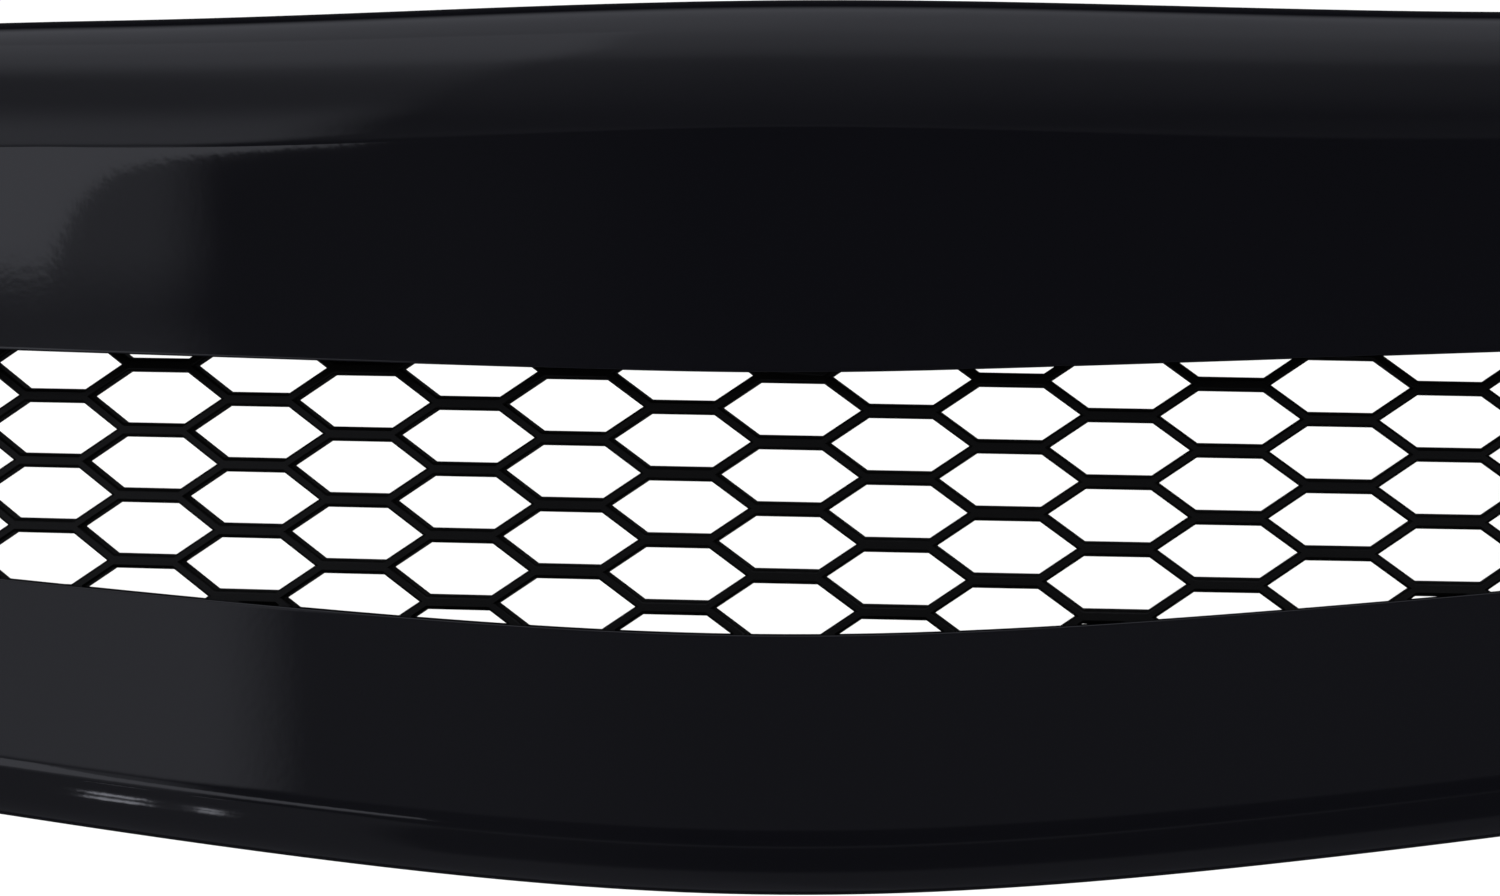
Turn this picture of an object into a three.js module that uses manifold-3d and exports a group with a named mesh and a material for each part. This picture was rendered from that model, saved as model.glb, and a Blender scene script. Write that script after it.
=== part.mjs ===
// Front grille of a car: a gloss black shell with a long narrow air slot, a honeycomb mesh
// insert screwed in behind the slot, and the fixings that hold the grille on the car.
// Millimetres, +Z up. The grille faces -Y, X runs across the car. The origin is the middle of
// the flat seat under the centre tab, which rests on the radiator support.

import * as THREE from 'three';
import { mergeVertices } from 'three/addons/utils/BufferGeometryUtils.js';
import Module from 'manifold-3d';

const wasm = await Module();
wasm.setup();

// ---- driving dimensions of the shell's outline ----
const HALF_WIDTH = 430;
const SWEEP = 0.713e-3;          // backward sweep of the face, Y = SWEEP * X * X
const CENTRE_TOP = 86.8;         // height of the top edge above the mesh centre
const CENTRE_BOTTOM = -64.2;     // height of the bottom edge above the mesh centre
const FULL_HEIGHT = CENTRE_TOP - CENTRE_BOTTOM;
const TOP_SHOULDER = 118;        // where the raised middle of the top edge has run out
const TOP_RISE = 2.0;            // how much higher the middle of the top edge is
const TOP_FALL = 1.72e-4;        // droop of the top edge towards the tips
const TOP_FALL_START = 125;
const BOTTOM_RADIUS = 70;        // half width of the rounded middle of the bottom edge
const BOTTOM_RISE = 9.8;
const BOTTOM_LIFT = 8e-4;        // extra upward curve of the outer bottom edge
const BOTTOM_LIFT_START = 150;
const TIP_LENGTH = 22;           // rounded end of each tip
const TIP_BLUNTNESS = 1.15;      // tip rounding runs past the end wall, so the end stays blunt
const TIP_STATIONS = [376, 391, 404, 413, 420, 426];
const END_WALL = 4;              // thickness of the wall that closes each tip

// ---- section of the shell ----
const WALL = 2.6;
const BROW = 22.6;               // height of the rolled brow at the middle
const BROW_GAIN = 1.2;           // and how much deeper it is from here outwards:
const BROW_GAIN_REACH = 100;
const LOWER_LIP = 7.6;           // height of the rounded lip under the lower crease
const PANEL_START = -3;          // panel depth at the brow crease
const PANEL_RUN = -14;           // further forward run of the panel down to the lower crease
const PANEL_SPAN = 120.8;        // height of the panel at the middle, brow crease to lower crease
const PANEL_POWER = 1.6;
const FLANGE_BACK = 30;          // depth of the top flange behind the face

// ---- the slot and its collar ----
const SLOT_HALF_LENGTH = 275;
const SLOT_END_RADIUS = 13;
const COLLAR_WALL = 2.4;

// ---- the mesh insert ----
const MESH_LEAN = 0.196;         // the mesh leans back as it rises
const MESH_LEAN_GAIN = 0.14;     // and leans further away from the middle
const MESH_LEAN_REACH = 200;
const CELL_PITCH_X = 18.6;
const CELL_PITCH_Z = 11.3;
const CELL_HALF_WIDTH = 11.8;
const CELL_HALF_FLAT = 5.5;
const CELL_HALF_HEIGHT = 4.4;
const MESH_TURN = THREE.MathUtils.degToRad(1.08);
const MESH_COLUMNS = 15;
const MESH_ROWS = 3;
const LATTICE_DEPTH = 6;
const LATTICE_MARGIN = 3.5;       // lattice beyond the slot's edge
const LATTICE_EDGE = 0.7;         // wall that closes the outermost, clipped cells
const SMALLEST_CELL = 220;       // clipped cells below this volume stay filled
const RIM_DEPTH = 3;
const RIM_MARGIN = 16.5;         // rim beyond the slot's edge

// ---- fixings ----
const GAP = 0.3;                 // clearance between pieces that touch
const SCREW_MARGIN = 11.5;        // mesh screws beyond the slot's edge
const SCREW_STATIONS = [60, 150, 235];
const BOSS_RADIUS = 3.6;
const SCREW = { shank: 1.7, pilot: 2.0, clear: 2.1, head: 3.5, headHeight: 2.2 };
const TAB = { halfThick: 2.2, front: 15, back: 52, halfWidth: 14, seatHalfWidth: 30 };
const SEAT_Y = 37;
const TAB_STATIONS = { inner: 95, outer: 262 };
const RETAINER = { y: 42, hole: 4.3, shank: 4.0, bore: 2.4, head: 9, headHeight: 2, reach: 9 };
const PIN = { shank: 2.0, head: 6, headHeight: 1.6 };
const LOWER_TAB = { stations: [70, 190], halfWidth: 10, thick: 3.2, front: 0, back: 26 };
const CLIP = { halfWidth: 7, thick: 0.8, reach: 16, flare: 1.6 };
const SIDE = { inner: 380, outer: 404, low: 39, high: 55, back: 150, root: 0.7, pilotDepth: 14 };
const BRACKET = { thick: 2, reach: 30, hole: 3.5 };
const SIDE_SCREW = { spread: 6.5, shank: 2.2, pilot: 2.5, clear: 2.6, head: 4.4, headHeight: 2.6 };
const SEAL = { thick: 4, front: 17.5, back: 28.5, inner: [34, 79], outer: [112, 245] };
const RIB_STATIONS = [45, 140, 215, 300, 340];
const RIB_HALF = 1;
const ROUND = 9;                 // sides of small round parts
const STATION_PITCH = 24;        // spacing of the shell's sections
const MESH_STATION_PITCH = 27;   // and of the insert's

// ---- outline of the grille ----
const smooth = (t) => THREE.MathUtils.smoothstep(t, 0, 1);
const sweep = (x) => SWEEP * x * x;
const beyond = (x, start) => Math.max(0, Math.abs(x) - start);

function rawTop(x) {
  const fall = TOP_FALL * beyond(x, TOP_FALL_START) ** 2;
  return CENTRE_TOP - TOP_RISE * smooth(Math.abs(x) / TOP_SHOULDER) - fall;
}

function rawBottom(x) {
  const arc = BOTTOM_RISE * (Math.hypot(1, x / BOTTOM_RADIUS) - 1);
  return CENTRE_BOTTOM + arc + BOTTOM_LIFT * beyond(x, BOTTOM_LIFT_START) ** 2;
}

// The tips are rounded: top and bottom edges close in on their mean line.
function tipHalf(x) {
  const into = beyond(x, HALF_WIDTH - TIP_LENGTH) / (TIP_LENGTH * TIP_BLUNTNESS);
  return 0.5 * (rawTop(x) - rawBottom(x)) * Math.sqrt(1 - into * into);
}

const tipMiddle = (x) => 0.5 * (rawTop(x) + rawBottom(x));
const topEdge = (x) => tipMiddle(x) + tipHalf(x);
const bottomEdge = (x) => tipMiddle(x) - tipHalf(x);

// Section features shrink with the height of the face, so the tips stay fine.
const featureScale = (x) => Math.sqrt((topEdge(x) - bottomEdge(x)) / FULL_HEIGHT);

const slotTop = (x) => 23.2 + 0.036 * (Math.hypot(x, 25) - 25);
const slotBottom = (x) => -20.9 + 0.098 * (Math.hypot(x, 60) - 60) + 3.5e-4 * beyond(x, 140) ** 2;

// The panel between the brow crease and the lower crease, which also bear the two edges.
function panelEnds(x) {
  const scale = featureScale(x);
  const brow = BROW + BROW_GAIN * smooth(Math.abs(x) / BROW_GAIN_REACH);
  return { scale, crease: topEdge(x) - brow * scale, lower: bottomEdge(x) + LOWER_LIP * scale };
}

function panelDepth(x, z) {
  const { scale, crease, lower } = panelEnds(x);
  const part = THREE.MathUtils.clamp((crease - z) / (crease - lower), 0, 1);
  const run = (PANEL_RUN * (crease - lower)) / PANEL_SPAN;
  return sweep(x) + scale * PANEL_START + run * part ** PANEL_POWER;
}

function meshLean(x) {
  return MESH_LEAN + MESH_LEAN_GAIN * smooth(Math.abs(x) / MESH_LEAN_REACH);
}

const meshFront = (x, z) => sweep(x) + meshLean(x) * z;

// ---- geometry helpers ----

// A body drawn through stations along X. section(x) gives its [y, z] corners.
function loft(stations, section) {
  const sections = stations.map(section);
  const base = sections[0];
  const shape = new THREE.Shape(base.map(([y, z]) => new THREE.Vector2(y, z)));
  const steps = stations.length - 1;
  const geometry = new THREE.ExtrudeGeometry(shape, { depth: steps, steps, bevelEnabled: false });
  const position = geometry.attributes.position;
  for (let i = 0; i < position.count; i += 1) {
    const station = Math.round(position.getZ(i));
    const miss = base.map(([y, z]) => Math.hypot(y - position.getX(i), z - position.getY(i)));
    const corner = miss.indexOf(Math.min(...miss));
    const [y, z] = sections[station][corner];
    position.setXYZ(i, stations[station], y, z);
  }
  return geometry;
}

// A flat plate in the XZ plane, from y = from to y = from + depth.
function plate(outline, from, depth) {
  const shape = new THREE.Shape(outline.map(([x, z]) => new THREE.Vector2(x, z)));
  const geometry = new THREE.ExtrudeGeometry(shape, { depth, bevelEnabled: false });
  geometry.rotateX(Math.PI / 2);
  geometry.translate(0, from + depth, 0);
  return geometry;
}

function box(low, high) {
  const size = high.map((value, i) => value - low[i]);
  const geometry = new THREE.BoxGeometry(...size);
  geometry.translate(...low.map((value, i) => value + size[i] / 2));
  return geometry;
}

// A turned piece on the Z axis from [radius, z] corners.
function turned(corners) {
  const points = [...corners, corners[0]].map(([r, z]) => new THREE.Vector2(r, z));
  const geometry = new THREE.LatheGeometry(points, ROUND);
  geometry.rotateX(Math.PI / 2);
  return geometry;
}

function rod(radius, from, to) {
  const geometry = new THREE.CylinderGeometry(radius, radius, to - from, ROUND);
  geometry.rotateX(Math.PI / 2);
  geometry.translate(0, 0, (from + to) / 2);
  return geometry;
}

// Turns a piece made along +Z so that it points along direction from point.
function aim(geometry, point, direction) {
  const turn = new THREE.Quaternion().setFromUnitVectors(new THREE.Vector3(0, 0, 1), direction);
  geometry.applyQuaternion(turn);
  geometry.translate(point.x, point.y, point.z);
  return geometry;
}

function solid(geometry) {
  const bare = geometry.clone();
  bare.deleteAttribute('normal');
  bare.deleteAttribute('uv');
  const merged = mergeVertices(bare, 1e-4);
  const mesh = new wasm.Mesh({
    numProp: 3,
    vertProperties: new Float32Array(merged.attributes.position.array),
    triVerts: new Uint32Array(merged.index.array),
  });
  return new wasm.Manifold(mesh);
}

function surface(body) {
  const mesh = body.getMesh();
  const geometry = new THREE.BufferGeometry();
  geometry.setAttribute('position', new THREE.BufferAttribute(mesh.vertProperties, 3));
  geometry.setIndex(new THREE.BufferAttribute(mesh.triVerts, 1));
  geometry.computeVertexNormals();
  return geometry;
}

const joined = (first, others) => others.reduce((body, other) => body.add(solid(other)), first);
const cut = (first, others) => others.reduce((body, other) => body.subtract(solid(other)), first);
const mirrored = (stations) => [...stations.map((x) => -x).reverse(), ...stations];

function evenStations(from, to, pitch) {
  const count = Math.ceil((to - from) / pitch);
  return Array.from({ length: count + 1 }, (_, i) => from + ((to - from) * i) / count);
}

// ---- the slot's outline, grown by margin ----
function slotEnd(x, margin) {
  const into = beyond(x, SLOT_HALF_LENGTH - SLOT_END_RADIUS) / (SLOT_END_RADIUS + margin);
  return Math.sqrt(Math.max(0, 1 - into * into));
}

const slotMiddle = (x) => 0.5 * (slotTop(x) + slotBottom(x));
const slotHalf = (x, margin) => (0.5 * (slotTop(x) - slotBottom(x)) + margin) * slotEnd(x, margin);

function slotStations(margin, pitch) {
  const straight = SLOT_HALF_LENGTH - SLOT_END_RADIUS;
  const right = evenStations(0, straight, pitch).slice(1);
  for (let angle = 25; angle <= 75; angle += 25) {
    const turn = THREE.MathUtils.degToRad(angle);
    right.push(straight + (SLOT_END_RADIUS + margin) * Math.sin(turn));
  }
  return [...right.map((x) => -x).reverse(), 0, ...right];
}

function slotOutline(margin) {
  const inner = slotStations(margin, STATION_PITCH);
  const reach = SLOT_HALF_LENGTH + margin;
  const upper = inner.map((x) => [x, slotMiddle(x) + slotHalf(x, margin)]);
  const lower = inner.map((x) => [x, slotMiddle(x) - slotHalf(x, margin)]).reverse();
  return [...upper, [reach, slotMiddle(reach)], ...lower, [-reach, slotMiddle(reach)]];
}

// ---- sections of the shell ----
// Corners are [back, up] from the top edge, down the panel, then from the panel's foot.
function section(x, { brow, parts, foot, lip, wall }) {
  const { scale, crease, lower } = panelEnds(x);
  const top = topEdge(x);
  const footDepth = panelDepth(x, lower);
  const upperRun = brow.map(([back, up]) => [sweep(x) + back * scale, top + up * scale]);
  const panel = parts.map((part) => {
    const z = crease + (lower + foot * scale - crease) * part;
    return [panelDepth(x, z) + wall * scale, z];
  });
  const lowerRun = lip.map(([back, up]) => [footDepth + back * scale, lower + up * scale]);
  return [...upperRun, ...panel, ...lowerRun];
}

const FRONT = {
  brow: [
    [FLANGE_BACK, -6.4], [15, -6], [12.5, -1.2], [9, 0], [5.2, -1.1],
    [2.2, -3.8], [0.2, -8], [-1.2, -13], [-2.3, -18],
  ],
  parts: [0, 0.18, 0.36, 0.54, 0.71, 0.86, 1],
  foot: 1.2,
  lip: [[0.9, 0.2], [1.1, -1.8], [1, -3.6], [1.5, -5.4], [2.7, -7], [4.5, -LOWER_LIP], [25, -6.1]],
  wall: 0,
};

const BACK = {
  brow: [[FLANGE_BACK, -9], [15.5, -8.6], [6.8, -4.6], [3.3, -8], [1.4, -13], [0.3, -18]],
  parts: [0, 0.34, 0.62, 0.9],
  foot: 2.4,
  lip: [[3.1, 1.8], [3.4, 0.4], [3.5, -1.6], [3.4, -3.2], [3.9, -4.4], [5.2, -5], [25, -3.5]],
  wall: WALL,
};

const shellSection = (x) => [...section(x, FRONT), ...section(x, BACK).reverse()];
const endWallSection = (x) => section(x, FRONT);

// Ribs fill the corner behind the brow; their outer edges run inside the wall.
function ribSection(x) {
  const s = featureScale(x);
  const y = sweep(x);
  const top = topEdge(x);
  return [
    [26, -8], [14.8, -7.6], [6, -3.6], [2.2, -8], [0.2, -13], [-0.9, -18], [-1.6, -24], [-1.4, -34],
  ].map(([back, up]) => [y + back * s, top + up * s]);
}

function collarSection(x) {
  const high = slotMiddle(x) + slotHalf(x, COLLAR_WALL);
  const low = slotMiddle(x) - slotHalf(x, COLLAR_WALL);
  const inWall = WALL / 2;
  const back = (z) => meshFront(x, z) - 2 * GAP;
  return [
    [panelDepth(x, low) + inWall, low], [back(low), low],
    [back(high), high], [panelDepth(x, high) + inWall, high],
  ];
}

// ---- mesh screws: where they stand and how they point ----
function meshNormal(x, z) {
  const step = 0.5;
  const slopeX = (meshFront(x + step, z) - meshFront(x - step, z)) / (2 * step);
  return new THREE.Vector3(-slopeX, 1, -meshLean(x)).normalize();
}

function screwPlaces() {
  const places = [];
  for (const x of mirrored(SCREW_STATIONS)) {
    places.push({ x, z: slotTop(x) + SCREW_MARGIN, row: 'upper' });
    places.push({ x, z: slotBottom(x) - SCREW_MARGIN, row: 'lower' });
  }
  return places.map((place) => {
    const seat = new THREE.Vector3(place.x, meshFront(place.x, place.z), place.z);
    const normal = meshNormal(place.x, place.z);
    let reach = 5;
    for (let i = 0; i < 12; i += 1) {
      const foot = seat.clone().addScaledVector(normal, -reach);
      reach += (foot.y - panelDepth(foot.x, foot.z) - WALL / 2) * normal.y;
    }
    return { ...place, seat, normal, reach, rim: RIM_DEPTH * normal.y };
  });
}

// ---- the shell ----
function tabHeight(x) {
  return topEdge(x) - 7.5 * featureScale(x);
}

function upperTab(x, halfWidth) {
  const y = sweep(x);
  const z = tabHeight(x);
  const low = [x - halfWidth, y + TAB.front, z - TAB.halfThick];
  return box(low, [x + halfWidth, y + TAB.back, z + TAB.halfThick]);
}

function lowerPlace(geometry, x) {
  const slope = (bottomEdge(x + 1) - bottomEdge(x - 1)) / 2;
  geometry.rotateY(-Math.atan(slope));
  geometry.translate(x, sweep(x), bottomEdge(x) + 2.8 * featureScale(x));
  return geometry;
}

function lowerTab(x) {
  const half = [LOWER_TAB.halfWidth, LOWER_TAB.thick / 2];
  const slab = box([-half[0], LOWER_TAB.front, -half[1]], [half[0], LOWER_TAB.back, half[1]]);
  return lowerPlace(slab, x);
}

function sideBlock(side) {
  const stations = [SIDE.inner, SIDE.outer].map((x) => side * x).sort((a, b) => a - b);
  return loft(stations, (x) => [
    [panelDepth(x, SIDE.low) + SIDE.root, SIDE.low], [SIDE.back, SIDE.low],
    [SIDE.back, SIDE.high], [panelDepth(x, SIDE.high) + SIDE.root, SIDE.high],
  ]);
}

const sideMiddle = { x: (SIDE.inner + SIDE.outer) / 2, z: (SIDE.low + SIDE.high) / 2 };
const sideScrewPlaces = [-1, 1].flatMap((side) => [-1, 1].map((end) => ({
  side,
  x: side * sideMiddle.x + end * SIDE_SCREW.spread,
  name: end * side < 0 ? 'inner' : 'outer',
})));
const alongY = new THREE.Vector3(0, 1, 0);

function frontShell() {
  const stations = evenStations(0, TIP_STATIONS[0] - 16, STATION_PITCH);
  stations.push(...TIP_STATIONS, HALF_WIDTH);
  let body = solid(loft([...stations.slice(1).map((x) => -x).reverse(), ...stations], shellSection));
  const ends = [-1, 1].map((side) => {
    const wall = [side * HALF_WIDTH, side * (HALF_WIDTH - END_WALL)].sort((a, b) => a - b);
    return loft(wall, endWallSection);
  });
  const ribs = mirrored(RIB_STATIONS).map((x) => loft([x - RIB_HALF, x + RIB_HALF], ribSection));
  body = joined(body, [...ends, ...ribs, loft(slotStations(COLLAR_WALL, STATION_PITCH), collarSection)]);
  body = cut(body, [plate(slotOutline(0), -60, 160)]);
  const tabs = mirrored(Object.values(TAB_STATIONS)).map((x) => upperTab(x, TAB.halfWidth));
  tabs.push(upperTab(0, TAB.seatHalfWidth));
  const lowerTabs = mirrored(LOWER_TAB.stations).map(lowerTab);
  const bosses = screwPlaces().map(({ seat, normal, reach }) => (
    aim(rod(BOSS_RADIUS, -reach, -GAP), seat, normal)));
  body = joined(body, [...tabs, ...lowerTabs, ...bosses, sideBlock(-1), sideBlock(1)]);
  const pilots = screwPlaces().map(({ seat, normal, reach }) => (
    aim(rod(SCREW.pilot, GAP - reach, 1), seat, normal)));
  const tabHoles = mirrored(Object.values(TAB_STATIONS)).map((x) => (
    rod(RETAINER.hole, -10, 10).translate(x, sweep(x) + RETAINER.y, tabHeight(x))));
  const sideHoles = sideScrewPlaces.map(({ x }) => {
    const start = new THREE.Vector3(x, SIDE.back, sideMiddle.z);
    return aim(rod(SIDE_SCREW.pilot, -SIDE.pilotDepth, 1), start, alongY);
  });
  return surface(cut(body, [...pilots, ...tabHoles, ...sideHoles]));
}

// ---- the mesh insert: a moulded honeycomb with a plain rim, curved like the face ----
function cellOutline(column, row) {
  const centreX = column * CELL_PITCH_X;
  const centreZ = (row + (column % 2 === 0 ? 0.5 : 0)) * CELL_PITCH_Z;
  const corners = [
    [CELL_HALF_WIDTH, 0], [CELL_HALF_FLAT, CELL_HALF_HEIGHT], [-CELL_HALF_FLAT, CELL_HALF_HEIGHT],
    [-CELL_HALF_WIDTH, 0], [-CELL_HALF_FLAT, -CELL_HALF_HEIGHT], [CELL_HALF_FLAT, -CELL_HALF_HEIGHT],
  ];
  return corners.map(([x, z]) => {
    const along = centreX + x;
    const up = centreZ + z;
    return [
      along * Math.cos(MESH_TURN) + up * Math.sin(MESH_TURN),
      up * Math.cos(MESH_TURN) - along * Math.sin(MESH_TURN),
    ];
  });
}

function meshCell(column, row) {
  const outline = cellOutline(column, row);
  const middle = (axis) => outline.reduce((sum, corner) => sum + corner[axis], 0) / outline.length;
  return solid(plate(outline, meshFront(middle(0), middle(1)) - 8, LATTICE_DEPTH + 16));
}

// A layer of the insert, from front to back millimetres behind its front face.
function meshLayer(margin, front, back) {
  return loft(slotStations(margin, MESH_STATION_PITCH), (x) => {
    const low = slotMiddle(x) - slotHalf(x, margin);
    const high = slotMiddle(x) + slotHalf(x, margin);
    return [
      [meshFront(x, low) + front, low], [meshFront(x, low) + back, low],
      [meshFront(x, high) + back, high], [meshFront(x, high) + front, high],
    ];
  });
}

function meshInsert() {
  const region = solid(plate(slotOutline(LATTICE_MARGIN), -60, 200));
  let body = solid(meshLayer(RIM_MARGIN, 0, RIM_DEPTH));
  body = joined(body, [meshLayer(LATTICE_MARGIN + LATTICE_EDGE, 1, LATTICE_DEPTH)]);
  for (let column = -MESH_COLUMNS; column <= MESH_COLUMNS; column += 1) {
    for (let row = -MESH_ROWS; row <= MESH_ROWS; row += 1) {
      const cell = meshCell(column, row).intersect(region);
      body = cell.volume() > SMALLEST_CELL ? body.subtract(cell) : body;
    }
  }
  const holes = screwPlaces().map(({ seat, normal }) => (
    aim(rod(SCREW.clear, -3, LATTICE_DEPTH), seat, normal)));
  return surface(cut(body, holes));
}

// ---- fixings ----
function panHead(shank, head, headHeight, depth) {
  return turned([
    [0, -depth], [shank, 1.5 - depth], [shank, 0], [head, 0],
    [head * 0.8, headHeight], [0, headHeight],
  ]);
}

function meshScrew({ seat, normal, reach, rim }) {
  const depth = rim + GAP + reach - 1;
  const underHead = seat.clone().addScaledVector(normal, rim + GAP);
  const piece = panHead(SCREW.shank, SCREW.head, SCREW.headHeight, depth);
  return aim(piece, underHead, normal);
}

function retainerBody(x) {
  const piece = turned([
    [RETAINER.bore, -2 * TAB.halfThick - RETAINER.reach],
    [RETAINER.shank - 0.7, -2 * TAB.halfThick - RETAINER.reach],
    [RETAINER.shank, -2 * TAB.halfThick - RETAINER.reach + 2.5],
    [RETAINER.shank, GAP], [RETAINER.head, GAP], [RETAINER.head - 0.8, GAP + RETAINER.headHeight],
    [RETAINER.bore, GAP + RETAINER.headHeight],
  ]);
  return piece.translate(x, sweep(x) + RETAINER.y, tabHeight(x) + TAB.halfThick);
}

function retainerPin(x) {
  const seat = 2 * GAP + RETAINER.headHeight;
  const tip = -2 * TAB.halfThick - RETAINER.reach + 1;
  const piece = turned([
    [0, tip], [PIN.shank, tip + 1.5], [PIN.shank, seat],
    [PIN.head, seat], [PIN.head - 0.6, seat + PIN.headHeight], [0, seat + PIN.headHeight],
  ]);
  return piece.translate(x, sweep(x) + RETAINER.y, tabHeight(x) + TAB.halfThick);
}

// A bent spring steel clip pushed over the back edge of a lower tab.
function lowerClip(x) {
  const inner = LOWER_TAB.thick / 2 + GAP;
  const outer = inner + CLIP.thick;
  const web = LOWER_TAB.back + GAP;
  const front = LOWER_TAB.back - CLIP.reach;
  const outline = [
    [front, inner], [web, inner], [web, -inner], [front, -inner],
    [front, -outer], [web + CLIP.thick, -outer], [web + CLIP.thick, outer],
    [front + 3, outer], [front - 1, outer + CLIP.flare], [front - 1, inner + CLIP.flare],
  ];
  const stations = [-CLIP.halfWidth, CLIP.halfWidth];
  return lowerPlace(loft(stations, () => outline), x);
}

// An angle bracket screwed to the block at each end; its long leg takes the wing panel bolt.
function sideBracket(side) {
  const start = SIDE.back + GAP;
  const outer = SIDE.outer + BRACKET.thick;
  const corners = [
    [SIDE.inner, start], [outer, start], [outer, start + BRACKET.reach],
    [SIDE.outer, start + BRACKET.reach], [SIDE.outer, start + BRACKET.thick],
    [SIDE.inner, start + BRACKET.thick],
  ];
  const shape = new THREE.Shape(corners.map(([x, y]) => new THREE.Vector2(side * x, y)));
  const geometry = new THREE.ExtrudeGeometry(shape, { depth: SIDE.high - SIDE.low, bevelEnabled: false });
  geometry.translate(0, 0, SIDE.low);
  const holes = sideScrewPlaces.filter((place) => place.side === side).map(({ x }) => (
    aim(rod(SIDE_SCREW.clear, -1, 4), new THREE.Vector3(x, start, sideMiddle.z), alongY)));
  const boltHole = aim(
    rod(BRACKET.hole, -6, 6),
    new THREE.Vector3(side * SIDE.outer, start + BRACKET.reach - 9, sideMiddle.z),
    new THREE.Vector3(1, 0, 0),
  );
  return surface(cut(solid(geometry), [...holes, boltHole]));
}

function sideScrew({ x }) {
  const head = SIDE.back + GAP + BRACKET.thick + GAP;
  const piece = panHead(SIDE_SCREW.shank, SIDE_SCREW.head, SIDE_SCREW.headHeight, 15);
  return aim(piece, new THREE.Vector3(x, head, sideMiddle.z), alongY);
}

// Foam strips stuck on the top flange between the tabs.
function topSeal(from, to) {
  return loft(evenStations(from, to, STATION_PITCH), (x) => {
    const s = featureScale(x);
    const y = sweep(x);
    const low = topEdge(x) - 6 * s + GAP;
    return [
      [y + SEAL.front * s, low], [y + SEAL.back * s, low],
      [y + SEAL.back * s, low + SEAL.thick * s], [y + SEAL.front * s, low + SEAL.thick * s],
    ];
  });
}

function sealOn(side, [from, to]) {
  const ends = [side * from, side * to].sort((a, b) => a - b);
  return topSeal(...ends);
}

// ---- finishes ----
const finish = (color, roughness, metalness = 0) => (
  () => new THREE.MeshStandardMaterial({ color, roughness, metalness }));
const glossBlack = finish(0x0a0a0d, 0.12);
const satinBlack = finish(0x141416, 0.5);
const zincSteel = finish(0x9a9c9e, 0.35, 1);
const blackNylon = finish(0x1c1c1d, 0.6);
const springSteel = finish(0x4a4d50, 0.4, 1);
const coatedSteel = finish(0x17181a, 0.45, 0.6);
const foam = finish(0x222222, 0.95);

const grille = new THREE.Group();

function place(name, geometry, material) {
  const piece = new THREE.Mesh(geometry, material());
  piece.name = name;
  piece.position.set(0, -SEAT_Y, TAB.halfThick - tabHeight(0));
  grille.add(piece);
}

place('front_shell', frontShell(), glossBlack);
place('mesh_insert', meshInsert(), satinBlack);
const sideName = (x) => (x < 0 ? 'left' : 'right');
for (const spot of screwPlaces()) {
  const order = SCREW_STATIONS.indexOf(Math.abs(spot.x)) + 1;
  place(`mesh_screw_${spot.row}_${sideName(spot.x)}_${order}`, meshScrew(spot), zincSteel);
}
for (const [where, station] of Object.entries(TAB_STATIONS)) {
  for (const x of [-station, station]) {
    place(`retainer_body_${sideName(x)}_${where}`, retainerBody(x), blackNylon);
    place(`retainer_pin_${sideName(x)}_${where}`, retainerPin(x), blackNylon);
  }
}
for (const [order, station] of LOWER_TAB.stations.entries()) {
  for (const x of [-station, station]) {
    place(`lower_clip_${sideName(x)}_${order + 1}`, lowerClip(x), springSteel);
  }
}
for (const side of [-1, 1]) {
  place(`side_bracket_${sideName(side)}`, sideBracket(side), coatedSteel);
  place(`top_seal_${sideName(side)}_inner`, sealOn(side, SEAL.inner), foam);
  place(`top_seal_${sideName(side)}_outer`, sealOn(side, SEAL.outer), foam);
}
for (const spot of sideScrewPlaces) {
  place(`side_screw_${sideName(spot.side)}_${spot.name}`, sideScrew(spot), zincSteel);
}

export default grille;
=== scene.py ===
import math
import bmesh
import bpy
from mathutils import Matrix, Vector
from mathutils.geometry import interpolate_bezier


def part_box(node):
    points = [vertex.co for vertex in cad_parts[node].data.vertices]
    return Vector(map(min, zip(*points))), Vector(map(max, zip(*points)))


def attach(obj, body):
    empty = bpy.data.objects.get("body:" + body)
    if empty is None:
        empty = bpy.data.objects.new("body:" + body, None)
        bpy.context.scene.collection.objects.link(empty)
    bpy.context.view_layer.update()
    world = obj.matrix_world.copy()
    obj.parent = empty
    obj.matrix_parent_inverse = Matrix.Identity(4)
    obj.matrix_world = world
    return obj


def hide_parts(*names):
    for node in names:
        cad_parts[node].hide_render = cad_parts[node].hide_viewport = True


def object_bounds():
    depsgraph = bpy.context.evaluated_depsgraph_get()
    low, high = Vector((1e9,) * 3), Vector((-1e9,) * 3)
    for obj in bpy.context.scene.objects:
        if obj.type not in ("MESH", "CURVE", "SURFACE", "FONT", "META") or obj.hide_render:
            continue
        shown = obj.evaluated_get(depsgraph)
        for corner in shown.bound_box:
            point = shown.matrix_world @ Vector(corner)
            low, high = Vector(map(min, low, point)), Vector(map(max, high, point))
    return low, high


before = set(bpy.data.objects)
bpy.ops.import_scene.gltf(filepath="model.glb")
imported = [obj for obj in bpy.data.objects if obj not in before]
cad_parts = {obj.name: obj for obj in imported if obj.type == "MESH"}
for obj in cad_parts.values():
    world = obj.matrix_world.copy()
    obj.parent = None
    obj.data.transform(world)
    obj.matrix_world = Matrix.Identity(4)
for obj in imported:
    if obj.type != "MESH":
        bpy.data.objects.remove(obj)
cad_box = [list(corner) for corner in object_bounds()]

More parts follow.
